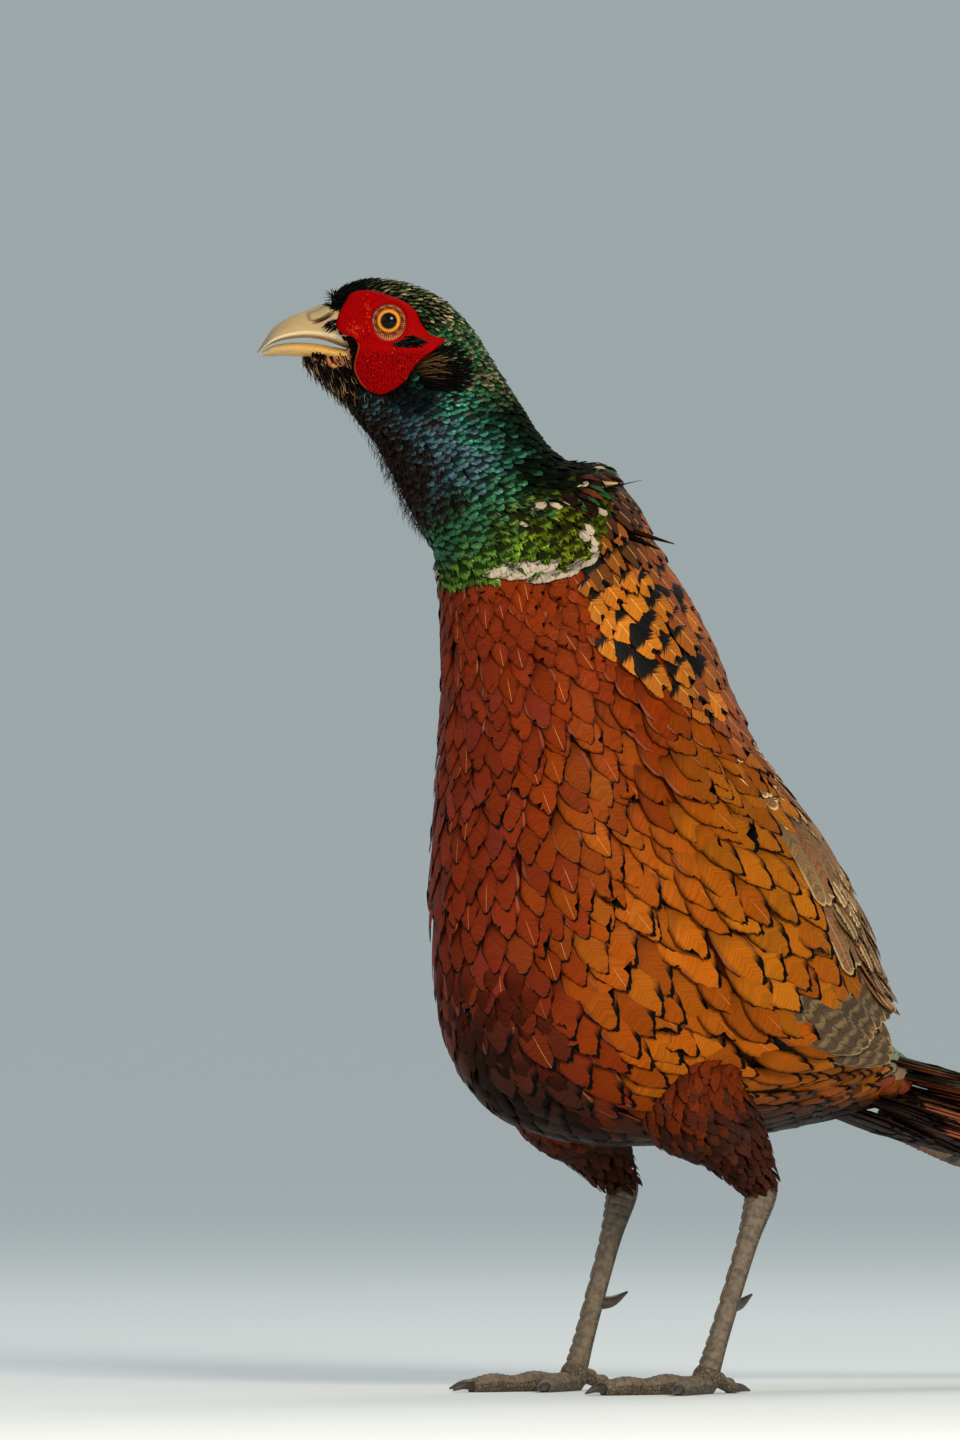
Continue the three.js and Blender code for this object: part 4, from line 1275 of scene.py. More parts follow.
def build_back():
    coat = Coat("back_feathers")
    step = size("breast_feather")
    a, b = scattered("back", BIRD.place, (13.2, 20.9), ALL_ROUND, step * 1.05,
                     keep=lambda a, b: (folded(b) < 60) | ((a > 18) & (folded(b) < 100)))
    ground, mark = back_tones(a, b, coat.random)
    body_feathers(coat, a, b, step * 3.2, step * 0.85, -2.6, 0.8, ground, mark, rows=8,
                  fray=0.16, tip=0.8, drop=0.6)
    coat.make(rimmed("back and rump feathers", 0.7, 0.6, 0.6), "breast_feather")


def build_belly():
    coat = Coat("belly_feathers")
    step = size("breast_feather") * 0.9
    a, b = scattered("belly", BIRD.place, (14.2, 20.9), ALL_ROUND, step,
                     keep=lambda a, b: folded(b) > np.where(a > 18.5, 96, 150))
    ground = breast_tones(a, b, coat.random)[0]
    body_feathers(coat, a, b, step * 3, step * 0.7, -2.4, 0.7, ground, ground * 0.5, cols=5,
                  fray=0.4, tip=0.7, drop=0.7)
    coat.make(plain_feather("belly feathers"), "thigh_feather")


CRESCENT = (98, 149)  # the ring beside the breast, in degrees from the back
CRESCENT_COUNT = 10
SECOND_ROW = (120, 125, 131)
# The patch behind the crescent: stations and degrees from the back
BEHIND = ((11.13, 93), (11.06, 91), (11.0, 94), (10.94, 91))
# The collar's loose bits: station, degrees from the back, length, half width
COLLAR_BITS = ((10.62, 58, 5.5, 3.0), (10.5, 68, 3.4, 3.0), (10.5, 86, 6.0, 2.6),
               (10.5, 95, 4.4, 1.6), (10.36, 102, 4.6, 2.8), (10.5, 117, 3.4, 1.9),
               (10.9, 75, 5.0, 2.4), (10.5, 35, 4.4, 2.2), (10.55, 12, 4.6, 2.2))


def build_collar():
    """The broken white ring: a crescent on each side of the breast, a frayed patch behind it and
    a few loose bits round the hindneck."""
    coat = Coat("collar_feathers")
    random = coat.random
    rows = []
    n = CRESCENT_COUNT
    for side in SIDES.values():
        front = np.linspace(*CRESCENT, n) + random.uniform(-1, 1, n)
        second = np.array(SECOND_ROW) + random.uniform(-1, 1, len(SECOND_ROW))
        level = neck_edge(np.radians(front)) - 0.12 + random.uniform(-0.02, 0.02, n)
        rows += zip(level, side * front, random.uniform(4.0, 4.8, n), random.uniform(5.0, 7.4, n))
        rows += [(neck_edge(np.radians(turn)) - 0.22, side * turn, 4.8, 6.0) for turn in second]
        rows += [(station, side * turn, 5.6, 2.2) for station, turn in BEHIND]
        rows += [(station, side * turn, long, half) for station, turn, long, half in COLLAR_BITS]
    a, b, long, half = np.array(rows).T
    white = paint("collar_white") * random.uniform(0.85, 1.05, (len(a), 1))
    body_feathers(coat, a, np.radians(b), long, half, -0.4, 1.3, white * 0.3, white, rows=9,
                  cols=31, camber=0.05, roll=0.04, fray=0.045, tip=0.9, drop=0.5, power=2.6)
    coat.make(collar_finish(), "neck_feather")


def collar_finish():
    """White, with fine dark gaps between its barbs."""
    f = FeatherFinish("white collar feathers", 0.3, 0.15)
    comb = f.g.noise(f.g.joined(f.across * 1.5, f.along * 0.16, f.chance * 31.0), 1.0, 3.0, 0.6)
    tone = f.g.mix(f.share().band(0.05, 0.45), f.ground, f.mark)
    tone = tone.scaled(comb.band(0.3, 0.52, 0.5, 1.08)).scaled(f.rim.band(-0.2, 0.7, 0.6, 1.0))
    return f.set(Base_Color=tone, Roughness=0.8, Specular_IOR_Level=0.03).bump(comb, 0.6).material


# The ruffled ledge at the foot of the hindneck: count, stations and degrees from the back
RUFFLED = (90, (10.3, 10.66), (-72, 88))
# Single feathers that stand off the hindneck: station and angle, which way each points in the
# camera's plane and up, length, half width, tone
SINGLE = (
    ((10.8, 60), (1.0, 0.22), 14, 0.4, "belly_brown"),
    ((11.28, 62), (1.0, -0.3), 16, 1.2, "throat_brown"),
    ((11.3, 66), (1.0, -0.42), 12, 1.2, "feather_black"),
    ((10.72, 58), (1.0, 0.05), 8, 1.3, "cream"),
)


def build_loose_feathers():
    """The ruffled ledge at the foot of the hindneck, and the few feathers that stand off it."""
    coat = Coat("ruffled_feathers")
    random = coat.random
    n, stations, degrees = RUFFLED
    a = random.uniform(*stations, n)
    b = np.radians(random.uniform(*degrees, n))
    rufous = (random.random(n) < 0.3) * random.uniform(0.2, 0.7, n)
    tone = over(paint("throat_brown") * 0.6, "scapular_chestnut", rufous)
    tone = over(tone, "neck_green", (random.random(n) < 0.25) * 0.6)
    body_feathers(coat, a, b, 10.0, 1.9, -1.0, random.uniform(0.9, 2.4, n), tone * 0.4, tone,
                  rows=9, cols=11, fray=0.6, tip=0.6, drop=0.9, roll=0.3)
    for (station, turn), (aside, high), long, half, name in SINGLE:
        a, b = np.array([station]), np.radians([turn])
        way = (CAMERA_RIGHT * aside + UP * high)[None]
        grid = planted(BIRD.place(a, b, -0.5), way, way + TO_CAMERA * 0.5, np.array([long]),
                       half, rows=9, cols=7, bend=0.35, taper=0.15)
        tone = paint(name)[None]
        coat.add(grid, body_roots(a, b), tone * 0.7, tone, np.array([[half, long]]))
    coat.make(plain_feather("ruffled feathers"), "neck_feather")


# Head

# The red skin's outline from the side, ahead of and above the middle of the eye
FACE_OUTLINE = (
    (13.4, 10.8), (7, 11.5), (0, 9.6), (-6.2, 7), (-10, 3.6), (-12.4, -1.6), (-16, -5.3),
    (-20.7, -7.2), (-13.6, -13.3), (-9.8, -16.6), (-6.2, -22), (-1.9, -25.4), (3, -27.2),
    (7.3, -26), (11, -22.3), (12.9, -16.6), (11.4, -9.4), (13.6, -6), (17.4, -4.6),
    (19.6, -1.4), (18.2, 3.4), (16, 7.4),
)
FACE_THICK = 1.25
FACE_MIDDLE = np.array((1.0, -6.5))
FACE_RINGS = 72
# Pale specks of the face skin: middle, spread and count of each lot
SPECKS = (((12.5, -3.4), (1.6, 2.0), 34), ((7.8, 2.5), (0.7, 3.4), 22), ((3, -17), (6, 5), 10))
HEAD_END = 7  # the station down to which the face skin reaches
RAY_START = 60.0
HIDDEN = 6.0  # the depth taken where a ray meets nothing
LID_RADIUS = 5.4
LID_POINTS = (288, 16)  # round the eye, and round the lid's own thickness
EYE_FRONT = 8  # the ball carries its iris where it stands further out than this
WHITE_OF_EYE = 9.0  # the distance from the pupil that the rest of the ball carries
# Outlines from the side: the bare bill with the flesh below it, that flesh, and the small dark
# feathers below the eye, behind the nostril and on the lower bill's root
BARE_BILL = ((23.6, 7.5), (20.5, 5.5), (18.6, 2.8), (19.2, 0.4), (20, -1.2), (18.6, -4.5),
             (15.4, -9.1), (15, -11), (14.4, -18), (20, -17), (24, -15.2), (29, -13.2),
             (60, -13.2), (60, 12))
FLESH = ((14, -10), (30, -10), (29, -13.6), (24, -15.8), (20, -17.6), (14.4, -18.6))
EYE_PATCH = ((2, -8.2), (-1.6, -7.2), (-4.6, -6.0), (-8, -5.8), (-10.5, -7), (-13, -8.3),
             (-8.6, -9.6), (-4.6, -9.9), (-1.2, -9.5))
BROW_PATCH = ((17.6, 4.4), (19.6, 5.5), (22.0, 6.1), (21.4, 5.2), (19.6, 4.0), (18.4, 3.0))
NOSTRIL_PATCH = ((18.6, 1), (21.6, 0.2), (23.4, -1.2), (21, -2.6), (18.6, -3.4))
CHIN_PATCH = ((29, -11.4), (26, -10.8), (23.4, -12.2), (23.2, -14), (27, -13.8))
FLESH_PATCH = ((25, -12.6), (20, -12), (15, -11.4), (13.6, -18.4), (20, -18), (27, -15))


def closed_curve(points, per=24):
    """A smooth closed line through points of a plane."""
    p = np.array(points, float)
    t = np.arange(per)[:, None] / per
    return np.concatenate([curve(*(p[(i + k) % len(p)] for k in range(-1, 3)), t)
                           for i in range(len(p))])


def inside_curve(line, x, y):
    """Which places of a plane lie inside a closed line."""
    x, y = np.asarray(x)[..., None], np.asarray(y)[..., None]
    x1, y1 = line[:, 0], line[:, 1]
    x2, y2 = np.roll(x1, -1), np.roll(y1, -1)
    crosses = ((y1 > y) != (y2 > y)) & (
        x < (x2 - x1) * (y - y1) / np.where(y2 == y1, 1e-9, y2 - y1) + x1)
    return crosses.sum(-1) % 2 == 1


FACE_CURVE = closed_curve(FACE_OUTLINE)


def in_head(points):
    """Forward, up and left of the point between the eyes."""
    d = points - EYE_LINE
    return d @ FORWARD, d @ UP, d @ SIDEWAYS


def ray_tree(*forms):
    """Closed forms, each its points and faces, to cast rays on."""
    lot = Lot()
    for points, faces in forms:
        lot.add(points, faces)
    corners = [list(map(int, f)) for g in lot.faces.values() for part in g for f in part]
    return BVHTree.FromPolygons([Vector(p) for p in np.concatenate(lot.points)], corners)


def head_surface():
    """The solid head's outer surface."""
    head = tube(BIRD, np.linspace(0, HEAD_END, 120), 0.0, 128)
    jaw = tube(JAW, np.linspace(0, JAW.count, 40), 0.0, 64)
    return ray_tree((head, shell(head)), (jaw, shell(jaw)))


def side_depth(tree, ahead, above, side):
    """How far to one side the head's surface lies at places seen from that side."""
    start = head_point(ahead, above, side * RAY_START)
    way = Vector(-SIDEWAYS * side)
    hits = (tree.ray_cast(Vector(p), way) for p in start)
    return np.array([RAY_START - hit[3] if hit[0] is not None else HIDDEN for hit in hits])


def ear_share(ahead, above, wide=8.0, high=6.5):
    return np.exp(-(((ahead + 17) / wide) ** 2 + ((above + 17.5) / high) ** 2))


def on_bare_head(a, b):
    """Places under the face skin, the bill or the hair-like feathers of the ear."""
    ahead, above, _ = in_head(BIRD.place(a, b))
    return (inside_curve(FACE_CURVE, ahead - 0.5, above)
            | inside_curve(np.array(BARE_BILL), ahead, above)
            | ((ear_share(ahead, above) > 0.3) & (ahead < -6)))


def head_roots(ahead, above):
    return unwrapped("head", (ahead + 60) / 100, (above + 90) / 120)


def build_head_feathers():
    coat = Coat("head_feathers")
    a, b = scattered("head", BIRD.place, (0.0, 5.6), ALL_ROUND, size("head_tuft"),
                     keep=lambda a, b: ~on_bare_head(a, b))
    ahead, above, _ = in_head(BIRD.place(a, b))
    random = coat.random
    n = len(a)
    crown = ease(above, -6, 2) * ease(ahead, 12, 4)
    patchy = ease(np.sin(ahead * 0.9 + above * 0.5) + random.normal(0, 0.7, n), 0.4, 1.2)
    fleck = patchy * (0.15 + 0.85 * crown) * ease(ahead, 8, -1) * (random.random(n) < 0.8)
    teal = ease(ahead, -4, -10) * ease(above, -26, -14) * ease(crown, 0.75, 0.2)
    mark = np.broadcast_to(paint("feather_black") * 1.5, (n, 3))
    olive = blend_tones(paint("neck_green") * 0.4, paint("crown_green") * 0.4, random.random(n))
    mark = blend_tones(mark, olive * 1.6, crown * random.uniform(0.2, 0.9, n))
    glossy = over(paint("neck_teal"), "neck_green", random.random(n))
    mark = blend_tones(mark, glossy * random.uniform(0.3, 1.2, (n, 1)), teal * 0.9)
    fleck_tone = over(paint("crown_green") * 1.5, "cream",
                      random.random(n) * (0.4 + 0.6 * ease(ahead, -12, -24)))
    mark = blend_tones(mark, fleck_tone, fleck * random.uniform(0.3, 1.0, n))
    mark = over(mark, "throat_brown", ease(above, -22, -30) * ease(a, 4.4, 3.4))
    # Painted shade: the feathers behind and below the wattle's lobe are made dark
    behind_lobe_shade = np.exp(-(((ahead + 9) / 7) ** 2 + ((above + 22) / 5) ** 2))
    mark = mark * (1 - 0.9 * np.clip(1.5 * behind_lobe_shade, 0, 1))[:, None]
    body_feathers(coat, a, b, 3.0 + 0.8 * ease(a, 4, 5.4), 0.82, -0.6, 0.4, mark * 0.25, mark,
                  rows=4, cols=3, camber=0.3, roll=0.25, tip=0.5, drop=1.0)
    coat.make(scaly_gloss("glossy head feathers", 0.2, 0.3, 0.44), "crown_feather")


def build_ear_coverts():
    """Long hair-like feathers that fan back over each ear, buff-brown with a black border, and
    the short black feathers below the eye and in front of the nostril."""
    coat = Coat("ear_coverts")
    random = coat.random

    def kept(a, b):
        ahead, above, _ = in_head(BIRD.place(a, b))
        return ((ear_share(ahead, above) > 0.25) & (ahead < -4)
                & ~inside_curve(FACE_CURVE, ahead - 0.5, above))

    a, b = scattered("ear", BIRD.place, (2.0, 6.8), ALL_ROUND, 0.72, keep=kept)
    ahead, above, _ = in_head(BIRD.place(a, b))
    n = len(a)
    buff = (ease(ear_share(ahead - 4.5, above - 0.2, 5.6, 4.4), 0.3, 0.75)
            * random.uniform(0.2, 1, n) * (random.random(n) < 0.72))
    tone = blend_tones(paint("feather_black"), paint("ear_brown") * 1.8, buff)
    tone = blend_tones(tone, paint("cream") * 0.7, buff * (random.random(n) < 0.14) * 0.6)
    fan = 0.75 + 0.55 * ease(above, -26, -12)
    body_feathers(coat, a, b, 6.4, 0.26, -0.5, 1.0, tone * 0.5, tone, rows=5, cols=3,
                  drift=-np.sign(np.sin(b)) * fan + random.normal(0, 0.16, n), camber=0.3,
                  roll=0.3, tip=0.4, drop=1.0)
    head = head_surface()
    upper, lower = (ray_tree(bill_shape(half)[:2]) for half in (True, False))
    # Each patch: outline, forms that it lies on, height over them, way, count, box of its outline
    patches = ((EYE_PATCH, (head,), FACE_THICK - 0.2, -FORWARD, 210, (-13, 2, -10, -5)),
               (BROW_PATCH, (upper,), -0.3, FORWARD * 0.9 + UP * 0.1, 60, (17, 22, 3, 6.2)),
               (NOSTRIL_PATCH, (upper,), -0.2, FORWARD * 0.8 - UP * 0.6, 34, (18, 25, -4, 1)),
               (CHIN_PATCH, (lower,), -0.2, -UP - FORWARD * 0.3, 40, (23, 30, -15, -10)),
               (FLESH_PATCH, (lower, head), -0.2, -UP - FORWARD * 0.45, 46, (13, 27, -19, -11)))
    for side in SIDES.values():
        for outline, trees, height, way, count, box in patches:
            x = random.uniform(box[0], box[1], count * 6)
            y = random.uniform(box[2], box[3], count * 6)
            inside = inside_curve(np.array(outline), x, y)
            x, y = x[inside][:count], y[inside][:count]
            k = len(x)
            depth = np.max([side_depth(tree, x, y, side) for tree in trees], 0)
            root = head_point(x, y, side * (depth + height))
            grid = planted(root, SIDEWAYS * side + way * 0.7 + random.normal(0, 0.25, (k, 3)),
                           way + random.normal(0, 0.2, (k, 3)), random.uniform(1.4, 2.6, k), 0.3,
                           bend=0.85)
            tone = blend_tones(paint("feather_black"), paint("neck_teal") * 0.3,
                               (random.random(k) < 0.2) * (outline is EYE_PATCH) * 0.8)
            coat.add(grid, head_roots(x, y), tone * 0.5, tone, np.tile((0.35, 2.4), (k, 1)))
    coat.make(plain_feather("hair-like feathers", 0.5), "crown_feather")


def build_bristles():
    """Short black bristles that stand off the chin, the throat and the forehead."""
    coat = Coat("bristles")
    random = coat.random
    groups = (
        ("chin", JAW, (0.1, 3.7), 1.15, lambda a, b: np.abs(np.degrees(b)) > 60),
        ("throat", BIRD, (1.6, 9.7), lambda a, b: 1.9 - 0.7 * ease(a, 6.2, 7.4),
         lambda a, b: (folded(b) > 126) & ~on_bare_head(a, b)),
        ("forehead", BIRD, (0.05, 2.2), 0.82,
         lambda a, b: (in_head(BIRD.place(a, b))[1] > 6.5) & ~on_bare_head(a, b)),
    )
    for name, run, stations, apart, keep in groups:
        a, b = scattered(name, run.place, stations, ALL_ROUND, apart, keep=keep)
        ahead, above, _ = in_head(run.place(a, b))
        bare = inside_curve(np.array(FLESH), ahead, above)
        thin = random.random(len(a)) < np.where(bare, 0.3, 1.0)
        thin &= ~inside_curve(FACE_CURVE, ahead - 0.3, above)
        a, b, bare = a[thin], b[thin], bare[thin]
        n = len(a)
        root = run.place(a, b, -0.4)
        out = run.place(a, b, 1.0) - root + random.normal(0, 0.35, (n, 3))
        crown = name == "forehead"
        ahead, above, _ = in_head(root)
        low = ease(above, 12, 7.5)[:, None]
        way = (FORWARD * (1.4 * low - 0.8) + UP * (0.6 - 0.6 * low) if crown
               else -FORWARD * 0.5 - UP)
        erect = (random.random((n, 1)) < 0.12) * (ahead > 15)[:, None] * crown
        way = way + erect * (UP * 0.8 + FORWARD * 0.3) + random.normal(0, 0.25, (n, 3))
        short = 0.25 + 0.75 * low[:, 0] if crown else np.where(bare, 0.75, 1)
        ruff = ease(a, 6.2, 7.4) * ease(a, 9.7, 9.2) * (name == "throat")
        long = random.uniform(2.6, 5.2, n) * short * (1 + 0.5 * ruff)
        grid = planted(root, out, way, long, random.uniform(0.2, 0.36, n), rows=5,
                       bend=random.uniform(0.4, 0.8, n) - 0.22 * ruff)
        brown = random.random(n) ** 0.7 * (not crown) * 0.95
        tone = blend_tones(paint("feather_black"), paint("throat_brown") * 1.3, brown)
        tan = (random.random(n) < 0.3) * ease(above, -31, -24) * ease(ahead, 4, 9) * (not crown)
        tone = blend_tones(tone, paint("cream") * 0.5, tan * random.uniform(0.4, 1, n))
        coat.add(grid, head_roots(ahead, above), tone * 0.6, tone, np.tile((0.4, 4.0), (n, 1)))
    coat.make(plain_feather("black bristles", 0.5), "crown_feather")


def red_skin_finish():
    f = Finish("bare red skin")
    g, (raised, pale, _) = f.g, f.carried()
    spot = g.spot()
    fine = g.noise(spot, 1900.0, 3.0, 0.6)
    patch = g.noise(spot, 260.0, 3.0, 0.6)
    # The first carried number darkens the red: painted shade between the pimples and in the
    # wrinkles
    tone = g.mix(raised.band(0.05, 0.8), tint("face_red", 0.32), tint("face_red"))
    tone = g.mix(patch.band(0.45, 0.75, 0.0, 0.45), tone, tint("face_red", 0.5))
    tone = g.mix(pale, tone, screen(226, 92, 40))
    f.set(Base_Color=tone, Roughness=fine.band(0.3, 0.7, 0.45, 0.65), Specular_IOR_Level=0.02)
    return f.bump(fine, 0.4, 0.0003).material


def near_dots(dots, x, y):
    """How far each place is from the nearest of the dots."""
    tree = search_tree(on_plane(*dots.T))
    return np.array([tree.find(p)[2] for p in on_plane(x, y)]).reshape(np.shape(x))


def even_dots(random, low, high, apart):
    """Dots over a box of the plane, at least apart from each other."""
    spots = random.uniform(low, high, (9000, 2))
    return spots[thinned(on_plane(*spots.T), np.full(len(spots), apart))]


def build_face_skin():
    """The red wattled skin: pimpled below, finely wrinkled before the eye, with a soft rim."""
    tree = head_surface()
    red = red_skin_finish()
    for name, side in SIDES.items():
        random = draws(f"face {name}")
        rays = FACE_CURVE - FACE_MIDDLE
        rings, cols = FACE_RINGS, len(FACE_CURVE)
        share = np.linspace(0.02, 1, rings)[:, None]
        ahead = FACE_MIDDLE[0] + rays[:, 0] * share
        above = FACE_MIDDLE[1] + rays[:, 1] * share
        rim = (1 - share) * length_of(rays)
        depth = side_depth(tree, ahead.ravel(), above.ravel(), side).reshape(ahead.shape)
        round_off = np.sqrt(np.clip(1 - (1 - np.clip(rim / 1.6, 0, 1)) ** 2, 0, 1))
        pimple = near_dots(even_dots(random, (-22, -29), (21, 13), 0.7), ahead, above)
        bump = np.clip(1 - (pimple / 0.5) ** 2, 0, 1)
        lower = ease(above, -8, -13)
        lines = near_dots(even_dots(random, (-22, -58), (42, 26), 1.3), ahead * 2, above * 1.1)
        wrinkle = ease(lines, 0.3, 0.9) * ease(ahead, 2, 9) * (1 - lower)
        from_eye = np.hypot(ahead, above)
        ring = 0.5 * np.exp(-(((from_eye - 7.8) / 0.9) ** 2))
        thick = (FACE_THICK + size("papilla") * bump * lower + 0.3 * wrinkle) * round_off + ring
        sink = -0.9 * ease(from_eye, 7.5, 5.0)
        top = head_point(ahead, above, side * (depth + thick + sink))
        low = head_point(ahead, above, side * (depth - 0.8 - 3.4 * ease(ahead, 8, 15)))
        specks = np.vstack([random.normal(middle, spread, (count, 2))
                            for middle, spread, count in SPECKS])
        pale = ease(near_dots(specks, ahead, above), 0.34, 0.1) * random.uniform(
            0.15, 0.5, ahead.shape)
        front_rim = ease(rim, 0.8, 0.3) * ease(ahead, 7, 10) * ease(above, -7, -10)
        # Painted shade: darker between the pimples below and in the wrinkles
        tone = 1 - lower * (1 - bump) * 0.8 - 0.35 * wrinkle
        carried = np.stack([tone, np.maximum(pale, front_rim * 0.45), 0 * tone], -1)
        carried = np.vstack([carried.reshape(-1, 3), np.zeros((cols, 3)), [[1, 0, 0]],
                             [[0, 0, 0]]])
        hub, under = (head_point(*FACE_MIDDLE, side * (depth[0].mean() + out))[None]
                      for out in (FACE_THICK, -1.5))
        points = np.vstack([top.reshape(-1, 3), low[-1], hub, under])
        k = np.arange(cols)
        hub_at, base = (rings + 1) * cols, rings * cols
        fan = np.stack([np.full(cols, hub_at), (k + 1) % cols, k], -1)
        floor = np.stack([np.full(cols, hub_at + 1), base + k, base + (k + 1) % cols], -1)
        faces = [part[:, ::side] for part in (grid_faces(rings + 1, cols, closed=True), fan,
                                              floor)]
        piece = Lot().add(points, faces, measure=carried).make(f"face_skin_red_{name}", red)
        finish(piece, "face_skin", f"face_skin_{name}")


def eye_finish():
    f = Finish("wet amber eye")
    g, (radius, turn, _) = f.g, f.carried()
    spokes = g.noise(g.joined(turn * 9.0, radius), 2.2, 3.0, 0.7)
    deep, black = screen(120, 52, 10), (0.002, 0.002, 0.002, 1.0)
    tone = g.mix(spokes.band(0.35, 0.65), tint("iris_amber"), screen(216, 142, 44))
    for ring, dark in ((radius.band(3.0, 3.45, 0.8, 0.0), deep),
                       (radius.band(3.85, 4.4, 0.0, 0.85), deep),
                       (radius.band(2.85, 3.05, 1.0, 0.0), black),
                       (radius.band(4.4, 4.6), black)):
        tone = g.mix(ring, tone, dark)
    return f.set(Base_Color=tone, Roughness=0.06, Specular_IOR_Level=0.12).material


def build_eyes():
    wet = eye_finish()
    for name, side in SIDES.items():
        centre = (head_point(0, 0, side * EYE_DEPTH) + SHIFT) * MM
        look = Vector(SIDEWAYS * side)
        bpy.ops.object.select_all(action="DESELECT")
        bpy.ops.mesh.primitive_uv_sphere_add(
            segments=64, ring_count=48, radius=EYE_RADIUS * MM, location=centre,
            rotation=look.to_track_quat("Z", "Y").to_euler())
        ball = bpy.context.object
        ball.name = f"eyeball_{name}"
        bpy.ops.object.transform_apply(location=True, rotation=True, scale=True)
        bpy.ops.object.shade_smooth()
        ahead, above, left = in_head(np.array([v.co for v in ball.data.vertices]) / MM - SHIFT)
        radius = np.where(left * side > EYE_FRONT, np.hypot(ahead, above), WHITE_OF_EYE)
        turn = np.arctan2(above, ahead)
        carry(ball.data, "measure", np.stack([radius, turn, 0 * turn], -1))
        ball.data.materials.append(wet)
        finish(ball, "eye", f"eye_{name}")


def lid_finish():
    f = Finish("beaded lid")
    bead, _, _ = f.carried()
    tone = f.g.mix(bead.band(0.25, 0.8), screen(92, 28, 14), tint("lid_tan"))
    return f.set(Base_Color=tone, Roughness=0.45, Specular_IOR_Level=0.08).material


def build_lids():
    """A beaded ring round each eye, and folds above and below it."""
    beaded = lid_finish()
    turn_count, around_count = LID_POINTS
    turn, around = circle(turn_count)[:, None], circle(around_count)[None, :]
    faces = grid_faces(turn_count + 1, around_count, closed=True) % (turn_count * around_count)
    for name, side in SIDES.items():
        lot = Lot()
        below = np.clip(-np.sin(turn + 0.12), 0, 1) ** 1.5
        # Each ring: its radius, its thickness, how far out it stands, its tone
        rings = ((LID_RADIUS - 0.42 + 0 * turn, 0.36 + 0.04 * np.cos(turn * 52), 18.15,
                  0.3 + 0.32 * np.cos(turn * 52) * np.cos(turn * 7) + 0.2 * np.cos(turn * 9 + 1)),
                 (LID_RADIUS + 0.36 + 0 * turn, 0.4 + 0.05 * np.cos(turn * 47), 18.0,
                  0.5 + 0.3 * np.cos(turn * 47 + 1) + 0.2 * np.cos(turn * 11)),
                 (LID_RADIUS + 0.8 + 0.85 * below, 0.3 + 0.85 * below, 17.6 + 1.0 * below,
                  0.72 * below + 0.5 * below * np.cos(turn * 50)))
        for radius, fat, depth, tone in rings:
            out = radius + fat * np.cos(around)
            ahead, above = out * np.cos(turn), out * 0.96 * np.sin(turn)
            points = head_point(ahead, above,
                                side * (depth - 0.014 * ahead**2 + fat * np.sin(around)))
            # Painted shade: each ring is darker on its sides and underside, away from where it
            # faces out
            tone = tone * ease(np.sin(around), -0.1, 0.75) + 0 * around
            carried = np.stack([tone, 0 * tone, 0 * tone], -1).reshape(-1, 3)
            lot.add(points, [faces[:, ::-side]], measure=carried)
        finish(lot.make(f"lids_{name}", beaded), "face_skin")


# Bill

# Sections of each half: ridge and lower edge, or upper edge and keel, ahead of and above the
# eye line, and half width
UPPER_BILL = (
    ((16, 4), (10, -9.6), 13.0), ((21, 6.2), (15.3, -9.9), 12.0), ((24.5, 6.6), (19, -8.7), 9.8),
    ((29.4, 4.6), (24.5, -6.9), 7.7), ((34, 2.9), (31, -6.1), 6.6),
    ((38.6, 0.8), (37.5, -6.6), 5.4), ((42.6, -2.2), (42.4, -7.9), 4.0),
    ((45.6, -6.2), (45.6, -9.6), 2.4), ((48.7, -11.2), (48.4, -12.2), 0.6),
)
LOWER_BILL = (
    ((10, -10.4), (10, -16), 12.4), ((15.3, -10.3), (15.3, -16.2), 11.6),
    ((20, -9.5), (20.5, -15.4), 9.4), ((25, -8.5), (25.5, -14.4), 7.2),
    ((31, -7.8), (31.5, -13.4), 5.8), ((37, -7.9), (37.2, -12.9), 4.6),
    ((42.5, -8.8), (42.6, -12.9), 3.2), ((46.8, -11.2), (46.8, -12.9), 1.2),
)
NOSTRIL = (23.8, 1.5)
NOSTRIL_SLOPE = -0.49
SHARP = math.radians(60)  # the bill's edges stay sharp from this angle on


def bill_run(rows):
    ends = ((head_point(*ridge), head_point(*edge), half) for ridge, edge, half in rows)
    return Run([((top + low) / 2, (top - low) / 2, SIDEWAYS * half) for top, low, half in ends])


def bill_finish(name, base, tip):
    """Horn: streaked along its length, darker to the tip, paler at the cutting edge, with painted
    shade in and round the nostril.
    """
    f = Finish(name)
    g, (along, edge, hollow_shade) = f.g, f.carried()
    stretched = g.node("ShaderNodeMapping", Vector=g.spot(), Scale=(260, 260, 900))["Vector"]
    streaks = g.noise(stretched, 1.0, 4.0, 0.65)
    tone = g.mix(along.band(0.45, 1.0), base, tip)
    tone = g.mix(streaks.band(0.35, 0.75, 0.0, 0.5), tone, screen(150, 126, 96))
    tone = g.mix(edge.band(0.2, 0.9, 0.0, 0.8), tone, screen(222, 200, 158))
    # Painted shade in and round the nostril
    tone = g.mix(hollow_shade, tone, screen(30, 18, 12))
    f.set(Base_Color=tone, Roughness=streaks.band(0.3, 0.7, 0.3, 0.42), Specular_IOR_Level=0.5,
          Coat_Weight=0.15, Coat_Roughness=0.25)
    return f.bump(streaks, 0.18, 0.0004).material


